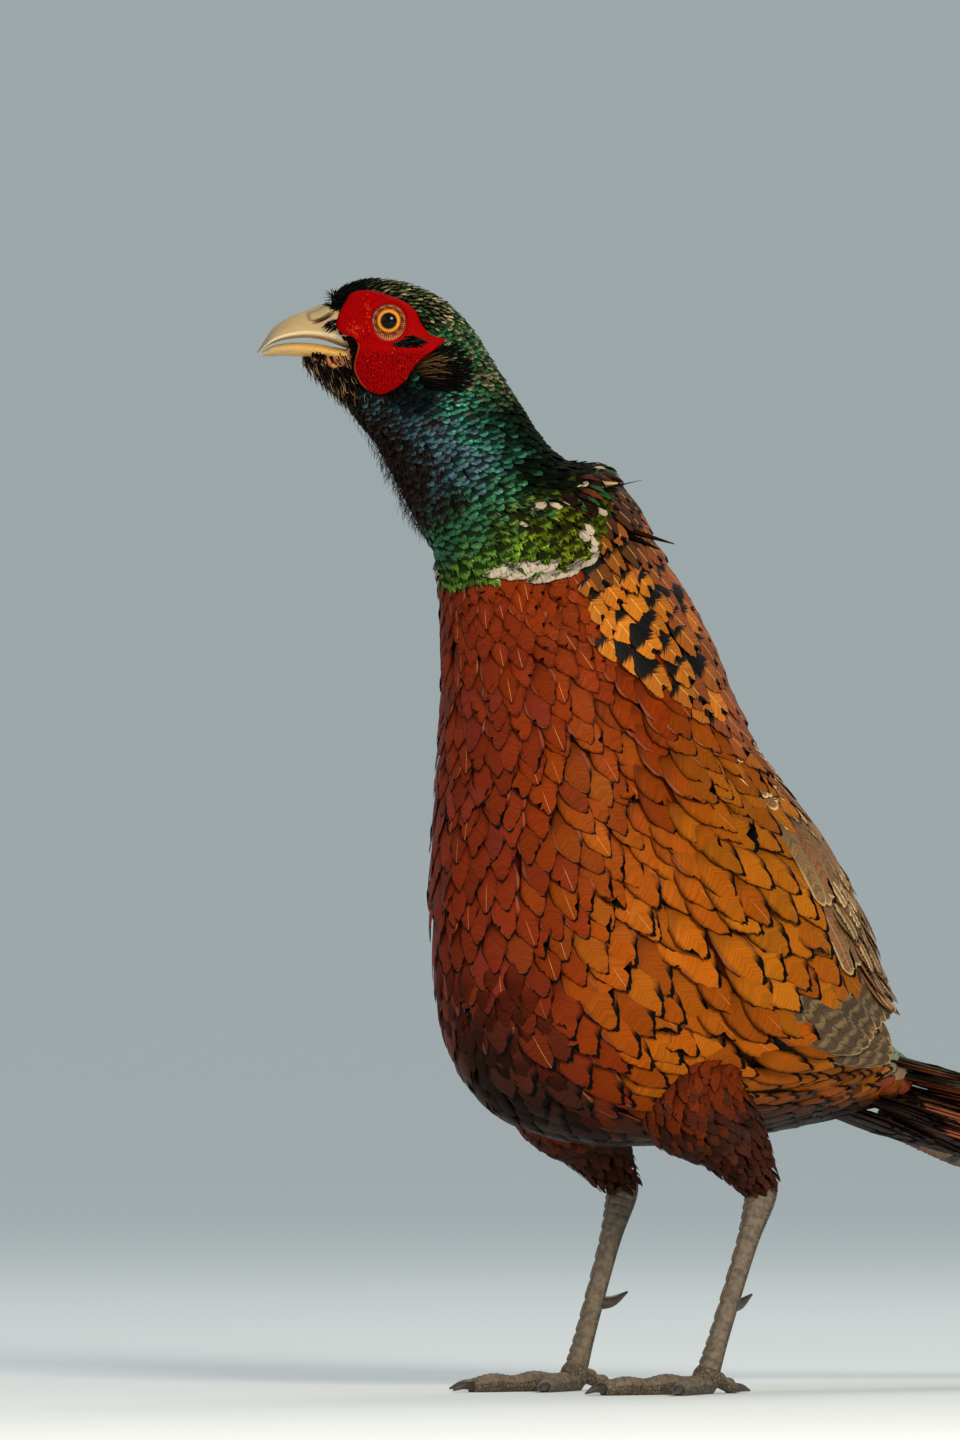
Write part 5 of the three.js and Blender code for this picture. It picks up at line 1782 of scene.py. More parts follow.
def bill_shape(upper):
    """A half of the bill: its points, its faces, and along it how far, its edge and the painted
    shade of its nostril.
    """
    run = bill_run(UPPER_BILL if upper else LOWER_BILL)
    a = np.linspace(0, run.count, 200)[:, None]
    b = circle(220 if upper else 96)[None, :]
    centre, rise, reach = run.section(a + 0 * b)
    level = np.cos(b) + 0 * a
    root = ease(a, 3.4, 1.4)
    if upper:
        pinch = 1 - 0.3 * level * (1 - root)
        squared = np.sign(np.sin(b)) * np.abs(np.sin(b)) ** (0.9 - 0.25 * root)
    else:
        pinch = 1 + 0.25 * level
        squared = np.sin(b)
    points = centre + rise * level[..., None] + reach * (squared * pinch)[..., None]
    ahead, above, left = in_head(points)
    outward = unit(points - centre)
    turn = np.degrees(np.abs((b + math.pi) % TURN - math.pi))
    edge = np.exp(-(((turn - 128) / 14) ** 2)) * ease(a, 0.5, 1.5) * upper
    dark = 0 * edge
    if upper:
        steep = math.hypot(1, NOSTRIL_SLOPE)
        x, y = ahead - NOSTRIL[0], above - NOSTRIL[1]
        along = (x + NOSTRIL_SLOPE * y) / steep - 0.6
        aside = (y - NOSTRIL_SLOPE * x) / steep - 0.035 * along**2
        on_side = (np.abs(left) > 2.5) & (np.abs(along) < 9)
        flap = ease(aside, -0.1, 0.55) * ease(aside, 4.6, 1.2) * ease(np.abs(along - 0.6), 5.2, 2.6)
        slit = np.exp(-((along / 3.9) ** 4 + ((aside + 0.45) / 0.55) ** 4))
        lip = np.exp(-((along / 3.6) ** 4 + ((aside + 1.5) / 0.55) ** 2))
        points = points + outward * ((flap * 1.4 - slit * 1.9 + lip * 0.5) * on_side)[..., None]
        points = points + outward * (0.35 * edge)[..., None]
        # Painted shade in the nostril slit, and a fainter line of it round the nostril's flap
        dark = (slit + 0.4 * ease(flap, 0.05, 0.3) * ease(flap, 0.75, 0.4)) * on_side
    return points, shell(points), np.stack([a / run.count + 0 * b, edge, dark], -1)


def build_bill():
    pale = tint("bill_horn")
    upper_horn = bill_finish("pale upper horn", pale, tint("bill_tip"))
    lower_horn = bill_finish("warm lower horn", tint("bill_warm"), pale)
    for name, upper, horn in (("bill_upper", True, upper_horn), ("bill_lower", False, lower_horn)):
        points, faces, marks = bill_shape(upper)
        piece = Lot().add(points, faces, measure=marks.reshape(-1, 3)).make(f"{name}_horn", horn)
        select_only(piece)
        bpy.ops.object.shade_smooth_by_angle(angle=SHARP)
        piece.select_set(False)
        finish(piece, "bill_horn", name)


# Wings

FLIGHT_BAR = 7.0  # from bar to bar of the flight feathers
# Half width of the folded wings, station by station from the trunk's top
WING_WRAP = (32, 41, 51, 59, 62, 60, 56, 52, 47, 42, 37)
# The folded wing's inner form: station, its edges in degrees from the back, thickness
WING_CORE = ((1.1, 50, 76, 1.6), (1.5, 34, 92, 3.2), (2.2, 26, 98, 4.4), (3, 24, 99, 4.8),
             (3.8, 25, 99, 4.8), (4.7, 34, 90, 3.0))


def wing_place(side):
    """Places over the flank: stations from the trunk's top and the angle from the back."""
    def place(along, angle, height=0.0):
        along, angle, height = np.broadcast_arrays(along, angle, height)
        centre, rise, _ = BIRD.section(TRUNK_TOP + along)
        wrap = np.interp(along, np.arange(len(WING_WRAP)), WING_WRAP)
        high = length_of(rise)
        return (centre + rise * (np.cos(angle) * (high + height) / high)[..., None]
                + LEFT * side * (np.sin(angle) * (wrap + height))[..., None])
    return place


def core_level(along):
    return along_table(along, [(row[0], row[3]) for row in WING_CORE])


def from_to(place, roots, tips, n):
    """Starts, directions and lengths of n feathers from a line of roots to a line of tips."""
    share = np.linspace(0, 1, n)[:, None]
    a0, b0, a1, b1 = (np.array(roots[0] + tips[0]) * (1 - share)
                      + np.array(roots[1] + tips[1]) * share).T
    b0, b1 = np.radians(b0), np.radians(b1)
    rate_a, rate_b = rates(place, (a0 + a1) / 2, (b0 + b1) / 2)
    along, aside = rate_a * (a1 - a0), rate_b * (b1 - b0)
    return a0, b0, np.arctan2(aside, along), np.hypot(along, aside)


# Each tier: name, count, roots, tips, half width, level at root and tip, tone and rim tone
FLIGHT_TIERS = (
    ("primary", 8, ((4.1, 64), (4.3, 88)), ((6.95, 53), (7.3, 70)), 8.5, 0.8, 2.6,
     "flight_brown", "cream"),
    ("secondary", 11, ((3.4, 36), (3.8, 87)), ((5.95, 34), (6.25, 75)), 9.0, 2.6, 5.6,
     "flight_brown", "cream"),
    ("greater", 19, ((2.95, 33), (3.1, 91)), ((4.5, 32), (4.65, 87)), 4.8, 4.2, 6.6,
     "covert_grey", "cream"),
    ("median", 19, ((2.45, 32), (2.55, 90)), ((3.6, 31), (3.7, 90)), 4.6, 4.4, 7.2,
     "covert_grey", "cream"),
)


def wing_roots(name, a, b):
    return unwrapped(f"wing_{name}", np.asarray(b) / math.radians(125), np.asarray(a) / 8)


def barred_vane():
    """Flight feathers: brown, with pale broken bars and a pale rim."""
    f = FeatherFinish("flight feathers", 1.1, 0.7)
    g = f.g
    slant = f.along - abs(f.across) * 0.5 + f.chance * 9.0
    patchy = g.noise(g.joined(f.across * 0.35, f.along * 0.22, f.chance), 1.0, 3.0, 0.7)
    wave = g.math("SINE", (slant + (f.barbs + patchy) * 4.5) * (TURN / FLIGHT_BAR))
    bars = wave.band(0.15, 0.6) * f.amount()
    pale = (bars | f.rim.band(0.4, 1.2, 0.9, 0.0)) * patchy.band(0.3, 0.6, 0.3, 0.9)
    tone = g.mix(pale, f.streaked(f.ground, 0.75, 1.15), f.mark)
    tone = g.mix(f.shaft * 0.7, tone, screen(58, 42, 28))
    return f.done(tone, (0.62, 0.48), 0.08, 0.45)


def build_wings():
    flight, scapular, inner = barred_vane(), scapular_finish(), under_plumage("inner wing")
    covert = rimmed("wing covert feathers", 1.0, 0.7, 0.55, screen(196, 176, 140))
    for name, side in SIDES.items():
        place = wing_place(side)
        flights, coverts = Coat(f"flight_feathers_{name}"), Coat(f"wing_coverts_{name}")
        for tier, n, roots, tips, half, low, high, tone, rim in FLIGHT_TIERS:
            coat = flights if tier in ("primary", "secondary") else coverts
            a, b, way, long = from_to(place, roots, tips, n)
            if coat is coverts:
                seen = np.degrees(b) < wing_edge(a + TRUNK_TOP) + 14
                a, b, way, long = a[seen], b[seen], way[seen], long[seen]
                n = len(a)
            random = coat.random
            halves = half * random.uniform(0.94, 1.06, n)
            long = long * random.uniform(0.97, 1.03, n)
            rows, cols = (22, 9) if coat is flights else (12, 9)
            along, across = outline_grid(n, rows, cols, long, halves, random, root=0.6, belly=0.4,
                                         tip=0.78, drop=1.0, power=2.2, fray=0.03)
            height = vane_height(n, rows, cols, low, high + 0.3 * (np.arange(n) % 2), halves,
                                 camber=0.09, roll=-0.05)
            grid = lay(place, a, b, along, across, height, drift=way, hand=side)
            ground = over(paint(tone), "scapular_chestnut",
                          random.random(n) * (0.0 if coat is flights else 0.5))
            ground = ground * random.uniform(0.8, 1.15, (n, 1))
            pale = over(paint(rim), "flight_brown", np.full(n, 0.3))
            mark = np.column_stack([pale, np.full(n, 0.3 if coat is flights else 1.0)])
            coat.add(grid, wing_roots(name, a, b), ground, mark, np.stack([halves, long], -1))
        a, b = scattered(f"small coverts {name}", place, (1.0, 2.75), np.radians((30, 94)), 4.8,
                         keep=lambda a, b: np.degrees(b) < wing_edge(a + TRUNK_TOP) + 10)
        n = len(a)
        ground = over(paint("covert_grey"), "scapular_chestnut", coverts.random.random(n) * 0.5)
        start = -1.0 + core_level(a) * 0.8
        body_feathers(coverts, a, b, 15.0, 4.2, start, start + 3.2, ground,
                      np.broadcast_to(paint("cream"), (n, 3)), rows=8, place=place,
                      roots=wing_roots(name, a, b), hand=side, fray=0.06, tip=0.84)
        flights.make(flight, "wing_feather", f"wing_{name}")
        coverts.make(covert, "wing_feather")
        build_scapulars(name, side, scapular)
        build_wing_base(name, side, inner)


def scapular_finish():
    """Cream centres with a dark line round them, and chestnut rims."""
    f = FeatherFinish("scapular feathers", 1.0, 0.4)
    g = f.g
    rim = f.rim + (f.barbs - 0.5) * 2.2
    centre = rim.band(2.6, 3.2)
    line = rim.band(1.5, 2.0) * rim.band(2.6, 3.2, 1.0, 0.0)
    tone = g.mix(line, g.mix(centre, f.ground, f.mark), screen(24, 16, 12))
    core = abs(f.across).band(0.5, 1.1, 0.75, 0.0)
    tone = g.mix(core * centre, tone, screen(70, 44, 26))
    return f.done(f.streaked(tone, 0.7, 1.2), 0.55, 0.08, 0.45)


def build_scapulars(name, side, scapular):
    coat = Coat(f"scapulars_{name}")
    place = wing_place(side)
    edge = ((0.9, 44), (1.6, 56), (3.0, 54), (4.6, 48))
    a, b = scattered(f"scapulars {name}", place, (0.9, 4.6), np.radians((2, 58)), 6.6,
                     keep=lambda a, b: np.degrees(b) < along_table(a, edge))
    n, random = len(a), coat.random
    ground = over(paint("scapular_chestnut"), "covert_grey",
                  0.5 + 0.5 * random.random(n) * ease(a, 0.9, 1.8))
    ground = ground * random.uniform(0.8, 1.15, (n, 1))
    mark = over(paint("cream"), "mantle_gold", random.random(n) * 0.5)
    mark = mark * random.uniform(0.45, 0.95, (n, 1))
    start = core_level(a) * ease(np.degrees(b), 14, 30) * 0.8 - 1.5 + 2.4 * ease(a, 1.8, 3.4)
    body_feathers(coat, a, b, 30.0, 5.6, start, start + 3.6, ground, mark, rows=12, cols=9,
                  place=place, roots=wing_roots(name, a, b), hand=side, drift=-0.05, fray=0.07,
                  tip=0.62, drop=1.2)
    coat.make(scapular, "wing_feather")


def build_wing_base(name, side, inner):
    """The folded wing's inner form, below its feathers."""
    rows = []
    place = wing_place(side)
    share = np.linspace(0, 1, 17)
    for along in np.linspace(1.1, 4.7, 24):
        high, low, thick = (along_table(along, [(r[0], r[k]) for r in WING_CORE])
                            for k in (1, 2, 3))
        angle = np.radians(high + (low - high) * share)
        rise = (thick - 0.8) * np.sqrt(np.clip(1 - (2 * share - 1) ** 4, 0, 1))
        outer = place(along, angle, rise)
        inside = place(along, angle[::-1], -1.5)
        ring = np.vstack([outer, inside])
        rows.append(ring if side > 0 else ring[::-1])
    form(f"wing_base_{name}", np.array(rows), inner, "wing_feather",
         ground=[tint("breast_copper", 0.4)])


# Tail

TAIL_ROOT = np.array((184.0, 0.0, 114.0))
TAIL_DROOP = math.radians(13)
TAIL_BACK = np.array((math.cos(TAIL_DROOP), 0, -math.sin(TAIL_DROOP)))
TAIL_UP = np.array((math.sin(TAIL_DROOP), 0, math.cos(TAIL_DROOP)))
TAIL_PAIRS = (470, 415, 350, 295, 245, 205, 170, 140, 115)  # how far back each pair reaches
TAIL_START = 24
TAIL_HALF = 13.2
TAIL_LAYER = 1.15  # each pair lies this much below the one before
# Share of its full half width that a tail feather has, by share of its length
POINTED = ((0, 0.62), (0.25, 1), (0.6, 0.86), (0.85, 0.52), (1, 0.08))


def tail_point(back, left, above):
    back, left, above = np.broadcast_arrays(*(np.asarray(v, float)[..., None]
                                              for v in (back, left, above)))
    return TAIL_ROOT + TAIL_BACK * back + LEFT * left + TAIL_UP * above


def tail_finish():
    """Olive buff with black bars that lean from the shaft, and loose rufous rims."""
    f = FeatherFinish("barred tail feathers", 1.1, 0.8)
    g = f.g
    tone = g.mix(f.rim.band(1.5, 4.8, 0.9, 0.0), f.ground, tint("tail_edge"))
    slant = f.along + abs(f.across) * -0.35 + ((f.barbs - 0.5) * 4.0 + f.chance * 3.0)
    wave = g.math("COSINE", slant * (TURN / size("tail_bar")))
    bars = wave.band(0.62, 0.82) * f.rim.band(0.6, 3.4, 0.25, 1.0)
    tone = g.mix(bars, f.streaked(tone, 0.78, 1.18), f.mark)
    tone = g.mix(f.shaft * 0.8, tone, screen(70, 50, 30))
    return f.done(tone, (0.6, 0.45), 0.08, 0.4)


def upper_line(back):
    """How far the upper pair's shafts lie from the middle, so that it narrows to one point."""
    share = np.clip((back - TAIL_START) / (TAIL_PAIRS[0] - TAIL_START), 0, 1)
    return 0.3 + TAIL_HALF * along_table(share, POINTED)


def build_tail():
    coat = Coat("tail_feathers")
    random = coat.random
    rows, cols = 90, 13
    u, x = (v[0] for v in grid_shares(rows, cols))
    for pair, tip in enumerate(TAIL_PAIRS):
        for side in SIDES.values():
            crossing = pair == 0 and side == 1
            out = 0 if pair == 0 else 4 + pair * 0.6
            half = TAIL_HALF - pair * 0.35
            long = tip - TAIL_START
            back = TAIL_START + u * long
            from_root = 0.66 + 0.34 * ease(back, 24, 90)
            width = half * along_table(u, POINTED) * from_root
            edge = np.clip((np.abs(x) - 0.75) / 0.25, 0, 1)
            loose = edge * 0.05 * half * (random.random((rows, cols)) - 0.5) * 2
            line = side * (upper_line(back) + (-4 if crossing else out)) * from_root
            left = line + x * (width + loose)
            level = 1 - (-1 if crossing else pair) * TAIL_LAYER + 0.4
            above = (level - 0.2 * np.abs(left) + 0.35 * (1 - x**2) * width / half
                     + 0.25 * np.exp(-((x / 0.08) ** 2)) - 0.9 * edge**2
                     + 0.25 * np.sin(back / 31 + pair) * x**2)
            rounding = 0.9 * width * np.abs(x) ** 2 * u**3
            grid = tail_point(back - rounding, left, above)[None]
            ground = paint("tail_buff") * random.uniform(0.9, 1.1)
            ground = over(ground, "covert_grey", min(pair * 0.12, 0.7))
            roots = unwrapped("tail", np.array([0.5 + side * (pair + 1) * 0.05]),
                              np.array([0.1 + pair * 0.08]))
            coat.add(grid, roots, ground[None], paint("tail_black")[None],
                     np.array([[half, long]]))
    coat.make(tail_finish(), "tail_feather", "tail")


def build_tail_coverts():
    """Soft feathers that hang over the tail's base and below it."""
    coat = Coat("tail_coverts")
    random = coat.random
    rows, cols = 12, 7
    u = grid_shares(rows, cols)[0]
    # Each lot: count, nearest and furthest root, spread to the side, up or down, length, half
    for n, near, far, spread, way, long, half in ((130, 2, 64, 20, 1, 62, 5.5),
                                                  (90, 0, 46, 18, -1, 46, 5.0)):
        back = np.sort(random.uniform(near, far, n))[::-1] - 14
        side = random.uniform(-1, 1, n)
        left = side * spread * (1 - 0.25 * (back + 14) / 70)
        thick = np.interp(back, (-14, 30, 62), (15, 10.5, 5.0))
        middle = np.interp(back, (-14, 30, 62), (0.5, -3, -4.4))
        lengths = long * random.uniform(0.75, 1.15, n) * (1 - 0.3 * np.abs(side))
        halves = half * random.uniform(0.8, 1.1, n)
        along, across = outline_grid(n, rows, cols, lengths, halves, random, belly=0.45, tip=0.6,
                                     drop=1.2, fray=0.3)
        arch = np.sqrt(np.clip(1 - (side * 0.92) ** 2, 0.04, 1))
        base = middle + way * (thick * arch - 1.2)
        lift = way * u ** 0.8 * 1.6
        splay = left[:, None, None] * 0.25 * u
        spot = left[:, None, None] + across + splay
        sag = -0.02 * along
        above = base[:, None, None] + lift + sag - way * 0.09 * np.abs(across) ** 2 / half
        grid = tail_point(back[:, None, None] + along, spot, above)
        if way < 0:
            grid = grid[:, :, ::-1]
            tone = np.broadcast_to(paint("belly_brown"), (n, 3))
        else:
            tone = over(paint("rump_green"), "scapular_chestnut",
                        ease(np.abs(side) + random.normal(0, 0.15, n), 0.5, 0.9))
        tone = tone * random.uniform(0.75, 1.2, (n, 1))
        roots = unwrapped("tail", 0.5 + left / 60, 0.45 * (back + 20) / 90 + 0.1 + 0.4 * (way < 0))
        coat.add(grid, roots, tone, tone * 0.55, np.stack([halves, lengths], -1))
    coat.make(rimmed("rump plumes", 0.9, 0.8, 0.62), "tail_feather")


# Legs

# Each toe: name, degrees inward from straight ahead, length, half thickness
TOES = (("middle", 0, 50, 4.2), ("inner", 32, 36, 3.8), ("outer", -34, 38, 3.8),
        ("hind", 172, 15, 3.0))
CLAW_LENGTH = 9
SPUR_LENGTH = 11
# The shank: shares of its length from the hock, and its half thickness at each
SHANK = ((-0.05, 4.6), (0.06, 5.6), (0.3, 3.9), (0.75, 3.7), (1.0, 4.4))
BALL_RADIUS = 5.5
SPUR_PLACE = 0.62  # how far down the shank the spur stands
CLAW_RADII = (2.1, 1.6, 0.35)
SPUR_RADII = (2.8, 2.1, 0.4)
PLATED_FRONT = math.radians(105)  # how far round its front the shank has plates
PLATED_TOE = math.radians(78)
TOE_PLATE = 2.6


def leg_finish():
    f = Finish("scaled legs")
    g, (groove, plated, _) = f.g, f.carried()
    net = g.node("ShaderNodeTexVoronoi", {"feature": "DISTANCE_TO_EDGE"}, Vector=g.spot(),
                 Scale=620)["Distance"]
    worn, grain = f.worn(tint("leg_grey"), 420.0, 0.45)
    relief = net.band(0.02, 0.16) * 0.8 | plated.band(0.3, 0.7)
    tone = g.mix(relief * groove.band(0.0, 0.3, 0.35, 1), tint("leg_grey", 0.28), worn)
    f.set(Base_Color=tone, Roughness=0.5, Specular_IOR_Level=0.08)
    return f.bump(relief + grain * 0.3, 0.5, 0.0005).material


def scutes(along, turn, pitch):
    """Overlapping plates in two rows: their height and a tone that is 0 in the grooves."""
    lane = turn + 1
    shift = along / pitch + 0.5 * (np.floor(lane) % 2)
    share = shift - np.floor(shift)
    across = lane % 1
    groove = np.minimum(np.minimum(share, 1 - share) * pitch * 1.2,
                        np.minimum(across, 1 - across) * 4.0)
    return share**0.7, np.clip(groove, 0, 1)


def toe_line(turn, side):
    angle = math.radians(turn) * side
    way = np.array((-math.cos(angle), math.sin(angle), 0.0))
    return lambda out, height: np.array(at(ANKLE_PAD, side)) * (1, 1, 0) + way * out + UP * height


def build_thighs():
    soft = plain_feather("thigh feathers")
    for name, side in SIDES.items():
        coat = Coat(f"thigh_feathers_{name}")
        run = thigh_run(side)
        a, b = scattered(f"thigh {name}", run.place, (1.5, 17.2), ALL_ROUND, 3.3)
        keep = in_trunk(run.place(a, b)) > -4
        a, b = a[keep], b[keep]
        n = len(a)
        tone = paint("belly_brown") * coat.random.uniform(0.6, 1.7, (n, 1))
        tone = over(tone, "breast_maroon", coat.random.random(n) * 0.25)
        high = ease(a + coat.random.normal(0, 1.2, n), 8.5, 4.5)
        tone = over(tone, "breast_copper", high * 0.75)
        long = along_table(a, ((1, 15), (9, 11), (17, 6.5)))
        half = along_table(a, ((1, 3.4), (9, 2.6), (17, 1.5)))
        roots = unwrapped(f"thigh_{name}", (b / TURN) % 1.0, a / run.count)
        body_feathers(coat, a, b, long, half, -1.8, 0.5, tone * 0.6, tone, rows=6, cols=5,
                      place=run.place, roots=roots, fray=0.3, tip=0.65, drop=0.9)
        coat.make(soft, "thigh_feather")


def in_trunk(points):
    """How far points lie outside the trunk, in mm; below 0 inside."""
    a, b = every_pair(np.linspace(TRUNK_TOP, RUMP, 60), np.linspace(*ALL_ROUND, 48, endpoint=False))
    surface, centre = BIRD.place(a, b), BIRD.section(a)[0]
    tree = search_tree(surface)
    out = np.empty(len(points))
    for i, p in enumerate(points):
        j = tree.find(p)[1]
        way = surface[j] - centre[j]
        out[i] = np.dot(p - surface[j], way) / np.linalg.norm(way)
    return out


def build_legs():
    scaled = leg_finish()
    for name, side in SIDES.items():
        hock, pad = at(HOCK, side), at(ANKLE_PAD, side)
        shin = pad - hock
        run = limb_run([hock + shin * share for share, _ in SHANK], [half for _, half in SHANK])
        a, b = np.broadcast_arrays(np.linspace(0, run.count, 150)[:, None], circle(64)[None, :])
        down = (a / run.count) * np.linalg.norm(shin) * 1.05
        front = (np.abs(b - math.pi) < PLATED_FRONT) + 0 * a
        plate, groove = scutes(down, np.clip((b - math.pi) / PLATED_FRONT, -1, 1), size("scute"))
        points = run.place(a, b, front * (0.42 * plate - 0.35 * (1 - groove)))
        form(f"shank_scaled_{name}", points, scaled, "leg_scale", f"shank_{name}",
             measure=plates(front, groove))
        foot = Lot()
        for toe, turned_by, long, thick in TOES:
            points, carried = toe_mesh(toe, turned_by, long, thick, side)
            foot.add(points, shell(points), measure=carried)
        ball = ball_mesh(pad, BALL_RADIUS)
        foot.add(ball, shell(ball), measure=np.array([[1.0, 0.0, 0.0]]))
        finish(foot.make(f"foot_scaled_{name}", scaled), "leg_scale", f"foot_{name}")


def plates(plated, groove):
    """What the leg's points carry: 0 in a groove between plates, and 1 where there are plates."""
    return np.stack([np.where(plated > 0, groove, 1.0), plated, 0 * plated], -1).reshape(-1, 3)


def toe_mesh(toe, turned_by, long, thick, side):
    """A toe with plates above, pads below, and a flat sole on the floor."""
    place = toe_line(turned_by, side)
    lift = 5 if toe == "hind" else 0
    bumps = (1, 0.86, 0.98, 0.8, 0.9, 0.68)
    shares = np.linspace(0, 1, len(bumps))
    centres = [place(s * long, thick * b - 0.7 + lift * (1 - s)) for s, b in zip(shares, bumps)]
    run = limb_run(centres, [thick * b for b in bumps], up=UP)
    a, b = np.broadcast_arrays(np.linspace(0, run.count, int(long * 2.2))[:, None],
                               circle(40)[None, :])
    share = (a / run.count * long / TOE_PLATE) % 1
    over_toe = (np.abs(((b + math.pi) % TURN) - math.pi) < PLATED_TOE) + 0 * a
    step = np.clip(np.minimum(share, 1 - share) * 3.2, 0, 1)
    points = on_floor(run.place(a, b, over_toe * (0.3 * share**0.7 - 0.25 * (1 - step))))
    return points, plates(over_toe, step)


def on_floor(points):
    """Flattens what would reach below the floor."""
    points[..., 2] = np.maximum(points[..., 2], 0.0)
    return points


def ball_mesh(centre, radius):
    lat = np.linspace(0.04, math.pi - 0.04, 18)[:, None]
    lon = circle(32)[None, :]
    out = np.stack([np.sin(lat) * np.cos(lon), -np.sin(lat) * np.sin(lon),
                    np.cos(lat) + 0 * lon], -1)
    return on_floor(centre + out * radius)


def build_claws():
    f = Finish("dark horn")
    grain = f.g.noise(f.g.spot(), 500.0, 3.0, 0.6)
    tone = f.g.mix(grain.band(0.3, 0.7), tint("claw_dark"), tint("claw_dark", 2.2))
    horn = f.set(Base_Color=tone, Roughness=0.35, Specular_IOR_Level=0.5).bump(
        grain, 0.15, 0.0003).material
    for name, side in SIDES.items():
        for toe, turned_by, long, thick in TOES:
            place = toe_line(turned_by, side)
            tall = thick * 0.6
            path = [place(long - 3, tall), place(long + CLAW_LENGTH * 0.4, tall + 0.2),
                    place(long + CLAW_LENGTH, 0.9)]
            claw_piece("claw", f"{toe}_{name}", path, CLAW_RADII, horn)
        hock, pad = at(HOCK, side), at(ANKLE_PAD, side)
        root = hock + (pad - hock) * SPUR_PLACE
        path = [root, root + (7, side * 2, 0.5), root + (SPUR_LENGTH + 3, side * 3, 4)]
        claw_piece("spur", name, path, SPUR_RADII, horn)


def claw_piece(kind, where, path, radii, horn):
    run = limb_run(path, radii, up=UP, steps=10)
    points = on_floor(tube(run, np.linspace(0, run.count, 40), 0.0, 24))
    form(f"{kind}_horn_{where}", points, horn, "claw_horn", f"{kind}_{where}")


# Stage

CAMERA_TARGET = np.array((0.0, 0.0, 250.0))
CAMERA_TURN = math.radians(-40)  # the camera stands ahead of the bird's left side
FRAME_HEIGHT = 533.3  # how much of the scene the photograph's height shows at the bird
SENSOR = 36
TO_CAMERA = np.array((math.sin(CAMERA_TURN), -math.cos(CAMERA_TURN), 0.0))
CAMERA_RIGHT = np.array((math.cos(CAMERA_TURN), math.sin(CAMERA_TURN), 0.0))
SKY = np.array((0.90, 0.99, 1.0)) * 0.5


def build_stage():
    scene = bpy.context.scene
    far = size("camera_distance")
    target = (CAMERA_TARGET + SHIFT) * MM
    data = bpy.data.cameras.new("camera")
    data.sensor_width = SENSOR
    data.lens = SENSOR * far / FRAME_HEIGHT
    data.clip_start, data.clip_end = 0.1, 100
    camera = bpy.data.objects.new("camera", data)
    scene.collection.objects.link(camera)
    camera.location = target + TO_CAMERA * far * MM
    camera.rotation_euler = Vector(-TO_CAMERA).to_track_quat("-Z", "Y").to_euler()
    scene.camera = camera

    bpy.ops.object.select_all(action="DESELECT")
    bpy.ops.mesh.primitive_circle_add(vertices=128, radius=size("floor_radius") * MM,
                                      fill_type="NGON", location=(0, 0, 0))
    floor = bpy.context.object
    floor.name = "floor"
    f = Finish("pale floor")
    f.set(Base_Color=tint("floor_pale"), Roughness=0.9, Specular_IOR_Level=0.1)
    floor.data.materials.append(f.material)

    # Each lamp: name, place from the bird, in m, width, power, colour
    lamps = (
        ("key", TO_CAMERA * 2.3 + CAMERA_RIGHT * 0.8 + UP * 0.95, 0.8, 64, (1.0, 0.88, 0.70)),
        ("fill", TO_CAMERA * 1.9 - CAMERA_RIGHT * 1.9 + UP * 0.9, 2.0, 10, (0.92, 0.96, 1.0)),
        ("back", -TO_CAMERA * 1.8 + CAMERA_RIGHT * 0.8 + UP * 2.0, 1.4, 16, (1.0, 0.95, 0.88)),
    )
    for name, place, wide, power, tone in lamps:
        lamp = bpy.data.lights.new(name, "AREA")
        lamp.shape, lamp.size, lamp.energy, lamp.color = "DISK", wide, power, tone
        held = bpy.data.objects.new(name, lamp)
        scene.collection.objects.link(held)
        held.location = Vector(target) + Vector(place)
        held.rotation_euler = Vector(-place).to_track_quat("-Z", "Y").to_euler()
        held.visible_camera = False

    world = bpy.data.worlds.new("studio")
    scene.world = world
    world.use_nodes = True
    g = Graph(world.node_tree)
    seen = g.node("ShaderNodeLightPath")["Is Camera Ray"]
    sky = g.mix(seen, (*SKY, 1.0), (*(SKY * paint("floor_pale")), 1.0))
    g.feed(world.node_tree.nodes["Background"].inputs["Color"], sky)
    scene.view_settings.view_transform = "Standard"


# Operators, panel and run


class PHEASANT_OT_stage(bpy.types.Operator):
    """Pale floor, soft studio lights and the camera"""

    bl_idname = "pheasant.stage"
    bl_label = "Stage"

    def execute(self, context):
        build_stage()
        return {"FINISHED"}


class PHEASANT_OT_skin(bpy.types.Operator):
    """One skin under the feathers of head, neck, trunk and thighs"""

    bl_idname = "pheasant.skin"
    bl_label = "Skin"

    def execute(self, context):
        build_skin()
        return {"FINISHED"}


class PHEASANT_OT_head_feathers(bpy.types.Operator):
    """Small feathers of crown, cheek and nape, and the bristles of chin and forehead"""

    bl_idname = "pheasant.head_feathers"
    bl_label = "Head feathers"

    def execute(self, context):
        build_head_feathers()
        build_bristles()
        build_ear_coverts()
        return {"FINISHED"}


class PHEASANT_OT_face(bpy.types.Operator):
    """Red face skin and the lids"""

    bl_idname = "pheasant.face"
    bl_label = "Face"

    def execute(self, context):
        build_face_skin()
        build_lids()
        return {"FINISHED"}


class PHEASANT_OT_eyes(bpy.types.Operator):
    """Eyes with an amber iris"""

    bl_idname = "pheasant.eyes"
    bl_label = "Eyes"

    def execute(self, context):
        build_eyes()
        return {"FINISHED"}


class PHEASANT_OT_bill(bpy.types.Operator):
    """Both halves of the bill"""

    bl_idname = "pheasant.bill"
    bl_label = "Bill"

    def execute(self, context):
        build_bill()
        return {"FINISHED"}


